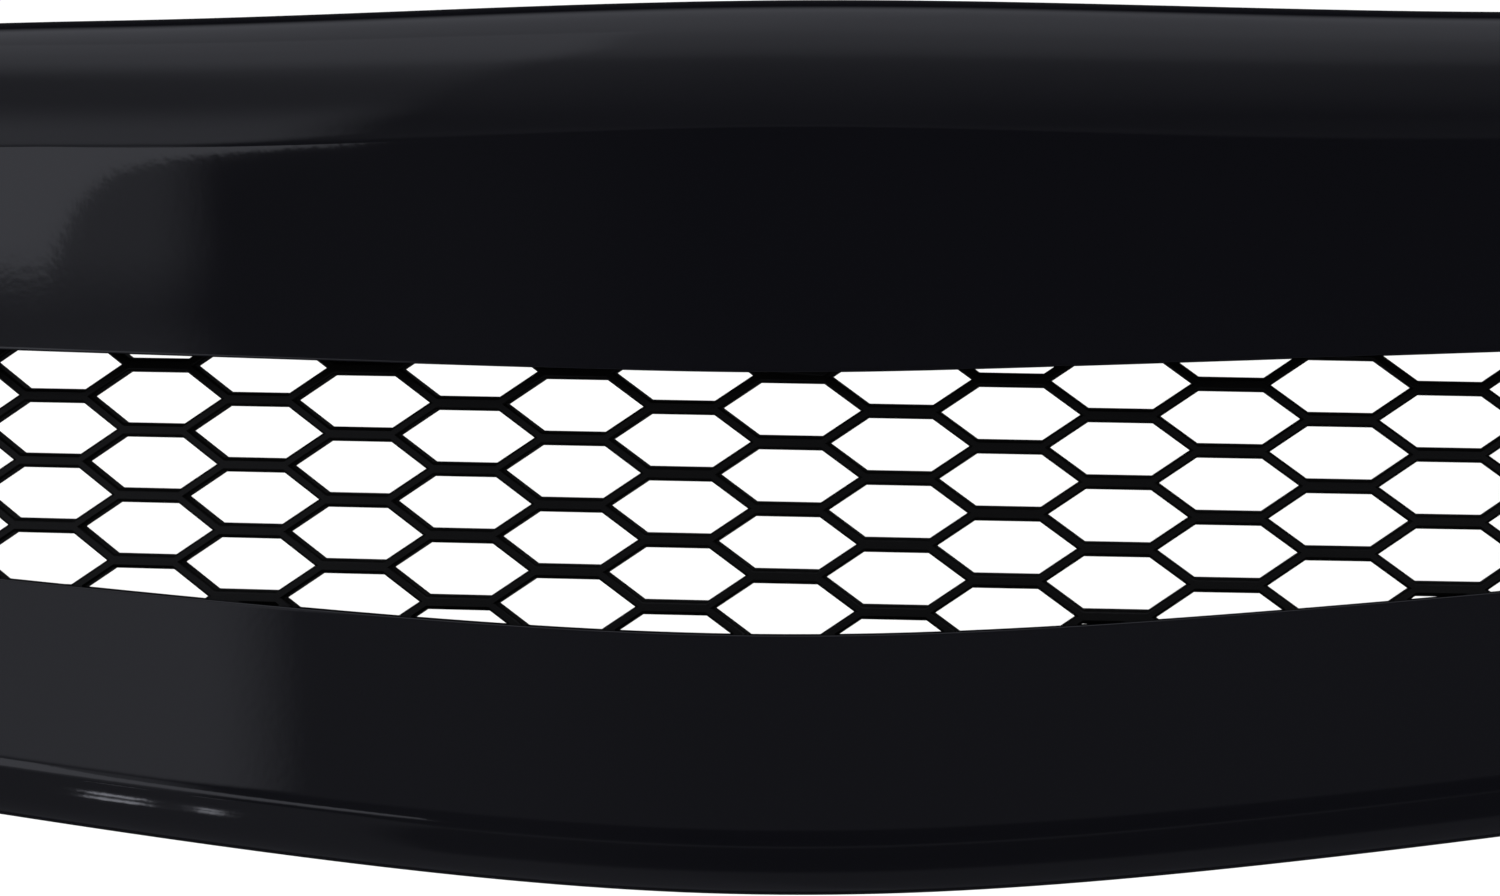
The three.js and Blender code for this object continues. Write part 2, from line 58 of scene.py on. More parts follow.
# ---------------------------------------------------------------------------------------------
# Camera. It looks at the middle of the mesh from just over 0.9 m away, a little from the
# grille's right and a little from above, through a long lens.
MM = 0.001
SEAT_BACK = 37.0          # the seat under the centre tab lies this far behind the mesh, in mm
SEAT_UP = 77.1            # and this far above the mesh's middle
VIEW_DISTANCE = 0.8991
VIEW_YAW = math.radians(4.76)
VIEW_TILT = math.radians(0.99)
LENS = 127.5

mesh_middle = Vector((0, -SEAT_BACK, -SEAT_UP)) * MM
view_back = Vector((
    math.sin(VIEW_YAW) * math.cos(VIEW_TILT),
    -math.cos(VIEW_YAW) * math.cos(VIEW_TILT),
    math.sin(VIEW_TILT),
))
camera_data = bpy.data.cameras.new("view")
camera_data.lens = LENS
camera_data.sensor_width = 36
camera_data.shift_x = -0.0248
camera_data.shift_y = 0.041
camera_data.clip_start = 0.01
camera = bpy.data.objects.new("view", camera_data)
camera.location = mesh_middle + view_back * VIEW_DISTANCE
camera.rotation_euler = view_back.to_track_quat("Z", "Y").to_euler()
bpy.context.scene.collection.objects.link(camera)
bpy.context.scene.camera = camera
bpy.context.scene.view_settings.view_transform = "Standard"

# ---------------------------------------------------------------------------------------------
# Studio. A wide pale floor under a white surround. What the gloss paint mirrors is a dim room in
# front, a ceiling that brightens overhead, and a bright wall with a soft light over it to the left.


def link(obj):
    bpy.context.scene.collection.objects.link(obj)
    return obj


def new_nodes(owner):
    owner.use_nodes = True
    owner.node_tree.nodes.clear()
    return owner.node_tree


def node(tree, kind, inputs=None, **settings):
    made = tree.nodes.new(kind)
    for name, value in settings.items():
        setattr(made, name, value)
    for key, value in (inputs or {}).items():
        if isinstance(value, bpy.types.NodeSocket):
            tree.links.new(value, made.inputs[key])
        else:
            made.inputs[key].default_value = value
    return made


def math_node(tree, operation, *values):
    made = node(tree, "ShaderNodeMath", dict(enumerate(values)), operation=operation)
    return made.outputs[0]


def ramp(tree, factor, stops):
    made = node(tree, "ShaderNodeValToRGB", {"Fac": factor})
    elements = made.color_ramp.elements
    while len(elements) < len(stops):
        elements.new(0.5)
    for element, (position, colour) in zip(elements, stops):
        element.position = position
        element.color = (*colour, 1)
    return made.outputs["Color"]


def grey(value):
    return (value, value, value)


def soft_step(tree, value, low, high):
    made = node(tree, "ShaderNodeMapRange", {"Value": value, "From Min": low, "From Max": high},
                interpolation_type="SMOOTHSTEP")
    return made.outputs["Result"]


# Brightness of the room at each height of the direction, in degrees above level. Its left
# part, by azimuth from straight in front of the grille, is a little brighter.
ROOM_LEVELS = [(-180, 0.2), (-90, 0.2), (-30, 0.2), (-22, 0.1), (2, 0.085), (11, 0.09),
               (14, 0.165), (17, 0.16), (21, 0.13), (24, 0.15), (27, 0.175), (33, 0.24),
               (37, 0.33), (41, 0.5), (46, 0.64), (55, 0.8), (66, 0.85), (90, 0.8), (180, 0.5)]
SIDE_GAIN = 0.035
SIDE_FADE = (-6, -20)
# A bright wall on the left, with the height of its top at each azimuth, and its dim foot.
WALL_TOP = [(-180, 8.85), (-32.85, 8.85), (-32.6, 6.9), (-31.7, 6.0), (-31.2, 5.4), (-29.1, 4.7),
            (-25.8, 4.0), (-21.5, 3.3), (-19.6, 2.4), (-18.4, -4.0), (180, -4.0)]
WALL_TOP_BLUR = 0.25
WALL_START = (0, 2)
FOOT_LEVEL = 0.2
FOOT_TOP = (-2, -5)
FOOT_END = (-19, -25)
# A soft light over the wall: its brightness, and where its right edge is, at each height.
SOFT_LEVELS = [(-180, 0), (-5, 0), (0, 0.3), (3, 0.4), (8.6, 0.41), (9.5, 0.2), (10.6, 0.22),
               (12, 0.55), (17, 0.6), (21, 0.48), (25, 0.36), (28, 0.29), (32, 0.3), (36, 0.5),
               (41, 0.78), (46, 0.9), (56, 0.95), (60, 0), (180, 0)]
SOFT_EDGE = [(-180, -27.8), (10, -27.8), (14, -24.8), (23, -21.5), (45, -14), (180, -14)]
SOFT_BLUR = 1.5
SOFT_BLUR_GAIN = 0.06     # the edge blurs by this share more for each degree of height
# Two small lamps low on the left: azimuth, height, half width and half height of each.
LAMPS = ((-33.6, -12.7, 1.5, 0.45), (-29.9, -12.7, 0.6, 0.4))
LAMP_LEVEL = 5.0
LAMP_FADE = (1.0, 0.7)    # from its rim inwards, in half sizes
# Behind the grille the room is dark, with a dim band at eye level and nothing straight behind.
# The fades are by how far a direction points back, from 0 to 1.
BACK_LEVEL = 0.03
BACK_FADE = (0.15, 0.5)
BAND_LEVEL = 0.15
BAND_FADE = (0.1, 0.4)
BAND_EDGE = (7, 12)
STRAIGHT_BACK = (0.98, 0.93)
MIRROR_TINT = {"Red": 0.92, "Green": 0.94, "Blue": 1.05}
DEGREES = 57.2958


def by_degrees(tree, angle, levels):
    """Blends levels given at angles from -180 to 180 degrees."""
    made = node(tree, "ShaderNodeFloatCurve", {
        "Value": math_node(tree, "MULTIPLY_ADD", angle, 1 / 360, 0.5)})
    low = min(level for _, level in levels)
    span = max(level for _, level in levels) - low
    points = made.mapping.curves[0].points
    while len(points) < len(levels):
        points.new(0.5, 0.5)
    for point, (at, level) in zip(points, levels):
        point.location = (at / 360 + 0.5, (level - low) / span)
        point.handle_type = "VECTOR"
    made.mapping.update()
    return math_node(tree, "MULTIPLY_ADD", made.outputs[0], span, low)


def times(tree, *values):
    return math_node(tree, "MULTIPLY", *values)


def brighter(tree, *levels):
    return math_node(tree, "MAXIMUM", *levels)


world = bpy.data.worlds.new("studio")
bpy.context.scene.world = world
tree = new_nodes(world)
direction = node(tree, "ShaderNodeTexCoord").outputs["Generated"]
along = node(tree, "ShaderNodeSeparateXYZ", {"Vector": direction})
back = along.outputs["Y"]
elevation = times(tree, math_node(tree, "ARCSINE", along.outputs["Z"]), DEGREES)
azimuth = times(tree, math_node(
    tree, "ARCTAN2", along.outputs["X"], times(tree, back, -1.0)), DEGREES)

under_top = math_node(tree, "SUBTRACT", by_degrees(tree, azimuth, WALL_TOP), elevation)
wall_level = times(tree, soft_step(tree, under_top, -WALL_TOP_BLUR, WALL_TOP_BLUR),
                   soft_step(tree, elevation, *WALL_START))
past_edge = math_node(
    tree, "DIVIDE",
    math_node(tree, "SUBTRACT", azimuth, by_degrees(tree, elevation, SOFT_EDGE)),
    math_node(tree, "MULTIPLY_ADD", elevation, SOFT_BLUR_GAIN, 1.0))
soft_level = times(tree, by_degrees(tree, elevation, SOFT_LEVELS),
                   soft_step(tree, past_edge, SOFT_BLUR, -SOFT_BLUR))
foot_level = times(tree, times(tree, soft_step(tree, azimuth, *FOOT_END),
                               soft_step(tree, elevation, *FOOT_TOP)), FOOT_LEVEL)
level = brighter(tree, by_degrees(tree, elevation, ROOM_LEVELS),
                 brighter(tree, soft_level, wall_level))
level = brighter(tree, level, foot_level)
level = math_node(tree, "ADD", level, times(tree, soft_step(tree, azimuth, *SIDE_FADE), SIDE_GAIN))

level = node(tree, "ShaderNodeMix", {
    "Factor": soft_step(tree, back, *BACK_FADE), "A": level, "B": BACK_LEVEL}).outputs[0]
off_band = soft_step(tree, math_node(tree, "ABSOLUTE", elevation), *BAND_EDGE)
band_level = times(tree, math_node(tree, "SUBTRACT", 1.0, off_band), BAND_LEVEL)
level = brighter(tree, level, times(tree, soft_step(tree, back, *BAND_FADE), band_level))
for at, height, half_width, half_height in LAMPS:
    across = math_node(tree, "DIVIDE", math_node(tree, "SUBTRACT", azimuth, at), half_width)
    up = math_node(tree, "DIVIDE", math_node(tree, "SUBTRACT", elevation, height), half_height)
    away = math_node(tree, "SQRT", math_node(
        tree, "ADD", math_node(tree, "POWER", across, 2.0), math_node(tree, "POWER", up, 2.0)))
    level = brighter(tree, level, times(tree, soft_step(tree, away, *LAMP_FADE), LAMP_LEVEL))
level = times(tree, level, soft_step(tree, back, *STRAIGHT_BACK))
tint = node(tree, "ShaderNodeCombineColor", {
    channel: times(tree, level, share) for channel, share in MIRROR_TINT.items()})
rays = node(tree, "ShaderNodeLightPath")
mirrored = node(tree, "ShaderNodeBackground", {"Color": tint.outputs[0]})
white = node(tree, "ShaderNodeBackground", {"Color": (1, 1, 1, 1), "Strength": 1.05})
shown = node(tree, "ShaderNodeMixShader",
             {0: rays.outputs["Is Glossy Ray"], 1: white.outputs[0], 2: mirrored.outputs[0]})
node(tree, "ShaderNodeOutputWorld", {"Surface": shown.outputs[0]})

FLOOR_DROP = 0.3
floor_mesh = bpy.data.meshes.new("floor")
bm = bmesh.new()
bmesh.ops.create_grid(bm, x_segments=4, y_segments=4, size=60,
                      matrix=Matrix.Translation((0, 0, cad_box[0][2] - FLOOR_DROP)))
bm.to_mesh(floor_mesh)
bm.free()
floor = link(bpy.data.objects.new("floor", floor_mesh))
floor_paint = bpy.data.materials.new("floor_paint")
tree = new_nodes(floor_paint)
paint = node(tree, "ShaderNodeBsdfPrincipled",
             {"Base Color": (0.97, 0.97, 0.97, 1), "Roughness": 0.9, "Specular IOR Level": 0.0})
node(tree, "ShaderNodeOutputMaterial", {"Surface": paint.outputs[0]})
floor_mesh.materials.append(floor_paint)
floor.visible_glossy = False


def soft_box(name, power, size, place, aim):
    data = bpy.data.lights.new(name, "AREA")
    data.shape = "RECTANGLE"
    data.size, data.size_y = size
    data.energy = power
    lamp = link(bpy.data.objects.new(name, data))
    lamp.location = place
    lamp.rotation_euler = (Vector(place) - Vector(aim)).to_track_quat("Z", "Y").to_euler()
    lamp.visible_glossy = False
    lamp.visible_camera = False


soft_box("overhead", 30, (2.5, 2.5), (0.4, -0.2, 2.2), (0, 0, 0))

# ---------------------------------------------------------------------------------------------
# Front shell. One injection moulding in ABS, painted gloss black on its face and bare behind. A
# brow rolls over the top, a long slot with a collar runs through the panel, and a rounded lip
# turns under along the bottom.
HALF_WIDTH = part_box("front_shell")[1].x / MM
FULL_HEIGHT = 151.0
CENTRE_TOP = 86.8
TOP_EDGE = {"fall": 2.0, "over": 118, "drop": 1.72e-4, "from": 125}
CENTRE_BOTTOM = -64.2
BOTTOM_EDGE = {"rise": 9.8, "over": 70, "lift": 8e-4, "from": 150}
TIP_REACH = 22.0          # the outline rounds off over this much at each tip
TIP_BLUNT = 1.15
SWEEP = 0.713e-3          # how fast the face curves back, per mm
BROW = 22.6
BROW_GAIN = 1.2           # the brow is this much deeper away from the middle
BROW_SPREAD = 100.0
BROW_STEPS = 4
LIP = 7.6
LIP_STEPS = 3
LIP_ROUND = 1.2           # the panel ends this far above the lip
CREASE_FRONT = 3.0        # the crease under the brow stands this far in front of the mesh
CREASE_ROUND = 0.4
PANEL_LEAN = 14.0         # and the panel comes this much further forward at its foot
PANEL_HIGH = 120.8
PANEL_CURL = 1.6
SKIN_END = HALF_WIDTH - 0.6
WALL = 2.6
EDGE_ROUND = 0.2
SLOT_TOP = {"middle": 23.2, "slope": 0.036, "blunt": 25}
SLOT_BOTTOM = {"middle": -20.9, "slope": 0.098, "blunt": 60, "lift": 3.5e-4, "from": 140}
SLOT_HALF_LENGTH = 275.0
SLOT_END_RADIUS = 13.0
SLOT_STRAIGHT = SLOT_HALF_LENGTH - SLOT_END_RADIUS
SLOT_COLUMNS = 62
TIP_COLUMNS = 44
TIP_CROWDING = 1.25       # the columns stand closer together towards each tip
MESH_LEAN = 0.196
MESH_LEAN_GAIN = 0.14     # the mesh leans back this much more towards its ends
MESH_LEAN_SPREAD = 200.0
MESH_CLEAR = 0.6


def smooth_step(t):
    t = min(1.0, max(0.0, t))
    return t * t * (3 - 2 * t)


def beyond(x, start):
    """How far x is past start, on either side."""
    return max(0.0, abs(x) - start)


def sweep(x):
    """How far back the mesh's middle line lies at x."""
    return SWEEP * x * x


def raw_top(x):
    """The top edge: nearly level over the middle, then falling away to the tips."""
    fall = TOP_EDGE["fall"] * smooth_step(abs(x) / TOP_EDGE["over"])
    return CENTRE_TOP - fall - TOP_EDGE["drop"] * beyond(x, TOP_EDGE["from"]) ** 2


def raw_bottom(x):
    """The bottom edge: a soft point in the middle, then rising to the tips."""
    rise = BOTTOM_EDGE["rise"] * (math.hypot(1, x / BOTTOM_EDGE["over"]) - 1)
    return CENTRE_BOTTOM + rise + BOTTOM_EDGE["lift"] * beyond(x, BOTTOM_EDGE["from"]) ** 2


def edges_at(x):
    """The top and bottom edges, rounded off at the tips."""
    into = beyond(x, HALF_WIDTH - TIP_REACH) / (TIP_REACH * TIP_BLUNT)
    middle = 0.5 * (raw_top(x) + raw_bottom(x))
    half = 0.5 * (raw_top(x) - raw_bottom(x)) * math.sqrt(max(0, 1 - into * into))
    return middle + half, middle - half


def feature_scale(x):
    """The brow, the lip and the wall shrink with the outline's height."""
    top, bottom = edges_at(x)
    return math.sqrt((top - bottom) / FULL_HEIGHT)


def slot_top(x):
    blunt = SLOT_TOP["blunt"]
    return SLOT_TOP["middle"] + SLOT_TOP["slope"] * (math.hypot(x, blunt) - blunt)


def slot_bottom(x):
    blunt = SLOT_BOTTOM["blunt"]
    rise = SLOT_BOTTOM["slope"] * (math.hypot(x, blunt) - blunt)
    lift = SLOT_BOTTOM["lift"] * beyond(x, SLOT_BOTTOM["from"]) ** 2
    return SLOT_BOTTOM["middle"] + rise + lift


def brow_height(x):
    return BROW + BROW_GAIN * smooth_step(abs(x) / BROW_SPREAD)


def panel_depth(x, z):
    """How far back the panel's face is, below the crease under the brow."""
    top, bottom = edges_at(x)
    scale = feature_scale(x)
    crease = top - brow_height(x) * scale
    lower = bottom + LIP * scale
    part = min(1.0, max(0.0, (crease - z) / (crease - lower)))
    lean = PANEL_LEAN * (crease - lower) / PANEL_HIGH * part ** PANEL_CURL
    return sweep(x) - CREASE_FRONT * scale - lean


def mesh_lean(x):
    """The mesh leans back, by this much for each mm of height."""
    return MESH_LEAN + MESH_LEAN_GAIN * smooth_step(abs(x) / MESH_LEAN_SPREAD)


def mesh_front(x, z):
    return sweep(x) + mesh_lean(x) * z


def smooth_through(points, per_span):
    """A smooth curve through [back, up] points, by their mean slopes."""
    dots = [Vector((*point, 0)) for point in points]
    before = [dots[0] * 2 - dots[1], *dots[:-1]]
    after = [*dots[1:], dots[-1] * 2 - dots[-2]]
    slopes = []
    for low, here, high in zip(before, dots, after):
        into = max((here - low).length, 1e-6)
        out = max((high - here).length, 1e-6)
        slopes.append(((here - low) / into * out + (high - here) / out * into) / (into + out))
    curve = []
    for i in range(len(dots) - 1):
        reach = (dots[i + 1] - dots[i]).length / 3
        span = interpolate_bezier(
            dots[i], dots[i] + slopes[i] * reach, dots[i + 1] - slopes[i + 1] * reach,
            dots[i + 1], per_span + 1)
        curve += [(dot.x, dot.y) for dot in span[:-1]]
    return [*curve, points[-1]]


FLANGE = [(30, -6.4), (22, -6.2), (16.2, -6.0)]
CROWN = [(15.4, -5.7), (14.4, -3.6), (12.6, -1.1), (9.2, 0), (5.4, -1.2), (2.5, -4.0), (0.5, -8.2),
         (-1.0, -13), (-2.2, -18)]
LIP_CURVE = [(0.27, 0.85), (0.35, 0.45), (0.47, -0.6), (0.64, -2.6), (0.92, -4.2), (1.65, -5.7),
             (2.8, -7.0), (4.5, -7.6)]
LIP_FLANGE = [(12, -7.1), (18, -6.6), (25, -6.1)]
UPPER_PARTS = [0, 0.015, 0.04, *[0.04 + 0.95 * i / 16 for i in range(1, 17)], 1]
LOWER_PARTS = [0, *[0.012 + 0.988 * i / 12 for i in range(13)]]


def slot_stations():
    """(x of the straight part, angle round the slot's end) for each column of the right half."""
    columns = [(SLOT_STRAIGHT * i / SLOT_COLUMNS, 0.0) for i in range(SLOT_COLUMNS + 1)]
    columns += [(SLOT_STRAIGHT, math.radians(angle)) for angle in range(6, 91, 6)]
    return columns


def slot_point(column, side, margin):
    """A point of the slot's outline, grown by margin; side is 1 on the upper edge, -1 below."""
    straight, angle = column
    x = straight + math.copysign(1, straight) * (SLOT_END_RADIUS + margin) * math.sin(angle)
    middle = 0.5 * (slot_top(x) + slot_bottom(x))
    half = (0.5 * (slot_top(x) - slot_bottom(x)) + margin) * math.cos(angle)
    return x, middle + side * half


def shell_section(x, slot_high, slot_low):
    """The shell's outer face at x, from the top flange down to the lip's."""
    top, bottom = edges_at(x)
    scale = feature_scale(x)
    crease = top - brow_height(x) * scale
    foot = bottom + LIP * scale
    y = sweep(x)
    crease_point = (-CREASE_FRONT, CREASE_ROUND - brow_height(x))
    outline = FLANGE + smooth_through([*CROWN, crease_point], BROW_STEPS)
    points = [Vector((x, y + back * scale, top + up * scale)) for back, up in outline]
    for part in UPPER_PARTS:
        z = crease + (slot_high - crease) * part
        points.append(Vector((x, panel_depth(x, z), z)))
    panel_foot = foot + LIP_ROUND * scale
    for part in LOWER_PARTS:
        z = slot_low + (panel_foot - slot_low) * part
        points.append(Vector((x, panel_depth(x, z), z)))
    foot_depth = panel_depth(x, foot)
    outline = smooth_through(LIP_CURVE, LIP_STEPS) + LIP_FLANGE
    points += [Vector((x, foot_depth + back * scale, foot + up * scale)) for back, up in outline]
    return points


def new_ends(result):
    """The new vertices of an extrude, and the new edges between them."""
    verts = [item for item in result["geom"] if isinstance(item, bmesh.types.BMVert)]
    fresh = set(verts)
    edges = [item for item in result["geom"]
             if isinstance(item, bmesh.types.BMEdge) and set(item.verts) <= fresh]
    return verts, edges


def new_piece(name, bm, body, *materials, stands_for=(), slot=None, sharp=40):
    """Turns millimetres about the mesh's middle into the row's metres about the seat."""
    to_row = Matrix.Scale(MM, 4) @ Matrix.Translation((0, -SEAT_BACK, -SEAT_UP))
    bmesh.ops.transform(bm, matrix=to_row, verts=bm.verts)
    for face in bm.faces:
        face.smooth = True
    mesh = bpy.data.meshes.new(name)
    bm.to_mesh(mesh)
    bm.free()
    mesh.set_sharp_from_angle(angle=math.radians(sharp))
    piece = link(bpy.data.objects.new(name, mesh))
    for material in materials:
        mesh.materials.append(material)
    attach(piece, body)
    if stands_for:
        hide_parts(*stands_for)
    return piece


def gloss_black():
    material = bpy.data.materials.new("gloss_black_paint")
    tree = new_nodes(material)
    where = node(tree, "ShaderNodeTexCoord").outputs["Object"]
    cloud = node(tree, "ShaderNodeTexNoise", {"Vector": where, "Scale": 9.0, "Detail": 3.0})
    colour = ramp(tree, cloud.outputs["Fac"], [(0.35, (0.0004, 0.0004, 0.0013)),
                                              (0.7, (0.0007, 0.0007, 0.0018))])
    haze = node(tree, "ShaderNodeTexNoise", {"Vector": where, "Scale": 60.0, "Detail": 4.0})
    roughness = node(tree, "ShaderNodeMapRange",
                     {"Value": haze.outputs["Fac"], "To Min": 0.03, "To Max": 0.07})
    peel = node(tree, "ShaderNodeTexNoise", {"Vector": where, "Scale": 700.0, "Detail": 1.0})
    bump = node(tree, "ShaderNodeBump",
                {"Height": peel.outputs["Fac"], "Strength": 0.015, "Distance": 0.0002})
    paint = node(tree, "ShaderNodeBsdfPrincipled", {
        "Base Color": colour, "Roughness": roughness.outputs["Result"],
        "Normal": bump.outputs["Normal"], "IOR": 1.5})
    node(tree, "ShaderNodeOutputMaterial", {"Surface": paint.outputs[0]})
    return material


def moulded_black(name, level, rough, grain_scale, grain, shine=0.5):
    """Bare moulded plastic: fine spark-eroded grain, with cloudy gloss."""
    material = bpy.data.materials.new(name)
    tree = new_nodes(material)
    where = node(tree, "ShaderNodeTexCoord").outputs["Object"]
    cloud = node(tree, "ShaderNodeTexNoise", {"Vector": where, "Scale": 25.0, "Detail": 4.0})
    colour = ramp(tree, cloud.outputs["Fac"], [
        (0.3, grey(level * 0.8)), (0.75, grey(level * 1.2))])
    roughness = node(tree, "ShaderNodeMapRange", {
        "Value": cloud.outputs["Fac"], "To Min": rough - 0.07, "To Max": rough + 0.07})
    fine = node(tree, "ShaderNodeTexNoise",
                {"Vector": where, "Scale": grain_scale, "Detail": 2.0})
    bump = node(tree, "ShaderNodeBump",
                {"Height": fine.outputs["Fac"], "Strength": grain, "Distance": 0.0003})
    plastic = node(tree, "ShaderNodeBsdfPrincipled", {
        "Base Color": colour, "Roughness": roughness.outputs["Result"],
        "Normal": bump.outputs["Normal"], "IOR": 1.5, "Specular IOR Level": shine})
    node(tree, "ShaderNodeOutputMaterial", {"Surface": plastic.outputs[0]})
    return material


shell_paint = gloss_black()
bare_black = moulded_black("bare_black_plastic", 0.013, 0.5, 1800.0, 0.25)


def shell_skin():
    """The outer face, drawn from tip to tip, and the slot's edge drawn back to the mesh."""
    right = slot_stations()
    outer_start = slot_point(right[-1], 1, EDGE_ROUND)[0]
    outer = [outer_start + (SKIN_END - outer_start) * (1 - (1 - i / TIP_COLUMNS) ** TIP_CROWDING)
             for i in range(1, TIP_COLUMNS + 1)]
    columns = [(slot_point(column, 1, EDGE_ROUND)[0], column) for column in right]
    columns += [(x, None) for x in outer]
    mirror = [(-x, column and (-column[0], column[1])) for x, column in columns[:0:-1]]
    columns = mirror + columns
    sections = []
    for x, column in columns:
        if column is None:
            middle = 0.5 * (slot_top(x) + slot_bottom(x))
            share = smooth_step((abs(x) - outer_start) / (SKIN_END - outer_start))
            middle += (sum(edges_at(x)) / 2 - middle) * share
            sections.append(shell_section(x, middle, middle))
        else:
            high = slot_point(column, 1, EDGE_ROUND)[1]
            low = slot_point(column, -1, EDGE_ROUND)[1]
            sections.append(shell_section(x, high, low))
    bm = bmesh.new()
    row = bm.verts.layers.int.new("row")
    at = bm.verts.layers.int.new("column")
    chain = []
    for i, point in enumerate(sections[0]):
        vert = bm.verts.new(point)
        vert[row] = i
        chain.append(vert)
    edges = [bm.edges.new(pair) for pair in zip(chain, chain[1:])]
    for i, points in enumerate(sections[1:], 1):
        verts, edges = new_ends(bmesh.ops.extrude_edge_only(bm, edges=edges))
        for vert in verts:
            vert.co = points[vert[row]]
            vert[at] = i
    upper_edge = len(FLANGE) + BROW_STEPS * len(CROWN) + 1 + len(UPPER_PARTS) - 1
    both = {upper_edge, upper_edge + 1}
    gone = [face for face in bm.faces if len({v[row] for v in face.verts} & both) == 2]
    bmesh.ops.delete(bm, geom=gone, context="FACES")
    bmesh.ops.remove_doubles(bm, verts=bm.verts, dist=0.002)
    ends = [edge for edge in bm.edges if edge.is_boundary
            and all(abs(abs(v.co.x) - SKIN_END) < 1e-3 for v in edge.verts)]
    for side in (-1, 1):
        loop = [edge for edge in ends if edge.verts[0].co.x * side > 0]
        verts = list({v for edge in loop for v in edge.verts})
        tips = [v for v in verts if sum(e in loop for e in v.link_edges) == 1]
        loop.append(bm.edges.new(tips))
        bmesh.ops.contextual_create(bm, geom=loop)
    loop = [edge for edge in bm.edges if edge.is_boundary
            and all(v[row] in both and columns[v[at]][1] for v in edge.verts)]
    steps = [(EDGE_ROUND * (1 - math.sin(angle)), EDGE_ROUND * (1 - math.cos(angle)))
             for angle in (math.radians(22.5 * i) for i in range(1, 5))]
    for margin, depth in [*steps, (0, None)]:
        verts, loop = new_ends(bmesh.ops.extrude_edge_only(bm, edges=loop))
        for vert in verts:
            side = 1 if vert[row] == upper_edge else -1
            x, z = slot_point(columns[vert[at]][1], side, margin)
            y = mesh_front(x, z) - MESH_CLEAR if depth is None else panel_depth(x, z) + depth
            vert.co = (x, y, z)
    bmesh.ops.recalc_face_normals(bm, faces=bm.faces)
    front = max(bm.faces, key=lambda face: face.calc_area() * (abs(face.normal.y) > 0.9))
    if front.normal.y > 0:
        bmesh.ops.reverse_faces(bm, faces=bm.faces)
    return bm


shell = new_piece("front_shell_skin", shell_skin(), "grille", shell_paint, bare_black,
                  stands_for=["front_shell"], slot="gloss_black_shell", sharp=180)
thickness = shell.vertex_groups.new(name="wall")
for vert in shell.data.vertices:
    thickness.add([vert.index], feature_scale(vert.co.x / MM), "REPLACE")
wall = shell.modifiers.new("wall", "SOLIDIFY")
wall.thickness = WALL * MM
wall.offset = -1
wall.vertex_group = "wall"
wall.material_offset = 1
wall.material_offset_rim = 1


# ---------------------------------------------------------------------------------------------
# Back of the shell, moulded in one with it in bare ABS. Tabs on the top flange take the push
# retainers, and the middle one is the seat. Ribs stiffen the brow, bosses take the mesh screws,
# and a cored block near each tip takes a bracket.
TAB_STATIONS = {"inner": 95, "outer": 262}
TAB_THICK = 4.4
TAB_FRONT = 15.0
TAB_HALF_WIDTH = 14.0
SEAT_HALF_WIDTH = 30.0
TAB_BACK = 52.0
TAB_DROP = 7.5            # the tabs' middle lies this far below the top edge
HOLE_BACK = 42.0
HOLE_RADIUS = 4.3
RIB_STATIONS = (45, 140, 215, 300, 340)
RIB_THICK = 2.0
RIB_OUTLINE = ((26, -8), (14.8, -7.6), (6, -3.6), (2.2, -8), (0.2, -13), (-0.9, -18),
               (-1.6, -24), (-1.4, -34), (1.5, -30))
SCREW_STATIONS = (60, 150, 235)
SCREW_MARGIN = 11.5
BOSS_RADIUS = 3.6
BOSS_DRAFT = 0.5
BOSS_FIN = {"out": 0.6, "wide": 2.4, "thick": 1.1, "high": 0.68, "down": 0.14}
GAP = 0.3
RIM_DEPTH = 3.0
BLOCK = {"inner": 380, "outer": 404, "low": 39, "high": 55, "back": 150, "sunk": 0.7,
         "wall": 2.2, "cored": 5}
LOWER_TABS = (70, 190)
LOWER_TAB = {"half_width": 10, "thick": 3.2, "back": 26, "rise": 2.8}


def round_edges(bm, size, segments=2, sharper_than=45, edges=None):
    picked = edges or [edge for edge in bm.edges if edge.is_manifold
                       and edge.calc_face_angle() > math.radians(sharper_than)]
    bmesh.ops.bevel(bm, geom=picked, offset=size, offset_type="OFFSET", segments=segments,
                    profile=0.5, affect="EDGES", clamp_overlap=True, material=-1)


def thicken(bm, faces, by):
    """Draws flat faces into a solid."""
    made = bmesh.ops.extrude_face_region(bm, geom=faces)
    bmesh.ops.translate(bm, vec=by, verts=new_ends(made)[0])
    bmesh.ops.recalc_face_normals(bm, faces=bm.faces)


def holed_rectangle(bm, radius, half_x, half_y, per_side=8):
    """A flat rectangle round a hole at the origin, facing up; returns its four sides."""
    start = bmesh.ops.create_circle(bm, segments=4 * per_side, radius=radius)["verts"]
    rim = list({edge for vert in start for edge in vert.link_edges})
    outer, edges = new_ends(bmesh.ops.extrude_edge_only(bm, edges=rim))
    corners = [Vector((half_x, half_y, 0)), Vector((-half_x, half_y, 0)),
               Vector((-half_x, -half_y, 0)), Vector((half_x, -half_y, 0))]
    for vert in outer:
        turn = (math.degrees(math.atan2(vert.co.y, vert.co.x)) - 45) % 360 / 90
        side = int(turn + 0.01) % 4
        vert.co = corners[side].lerp(corners[(side + 1) % 4], turn - int(turn + 0.01))
    return edges


def mirrored(stations):
    return [-x for x in reversed(stations)] + list(stations)


def tab_height(x):
    return edges_at(x)[0] - TAB_DROP * feature_scale(x)


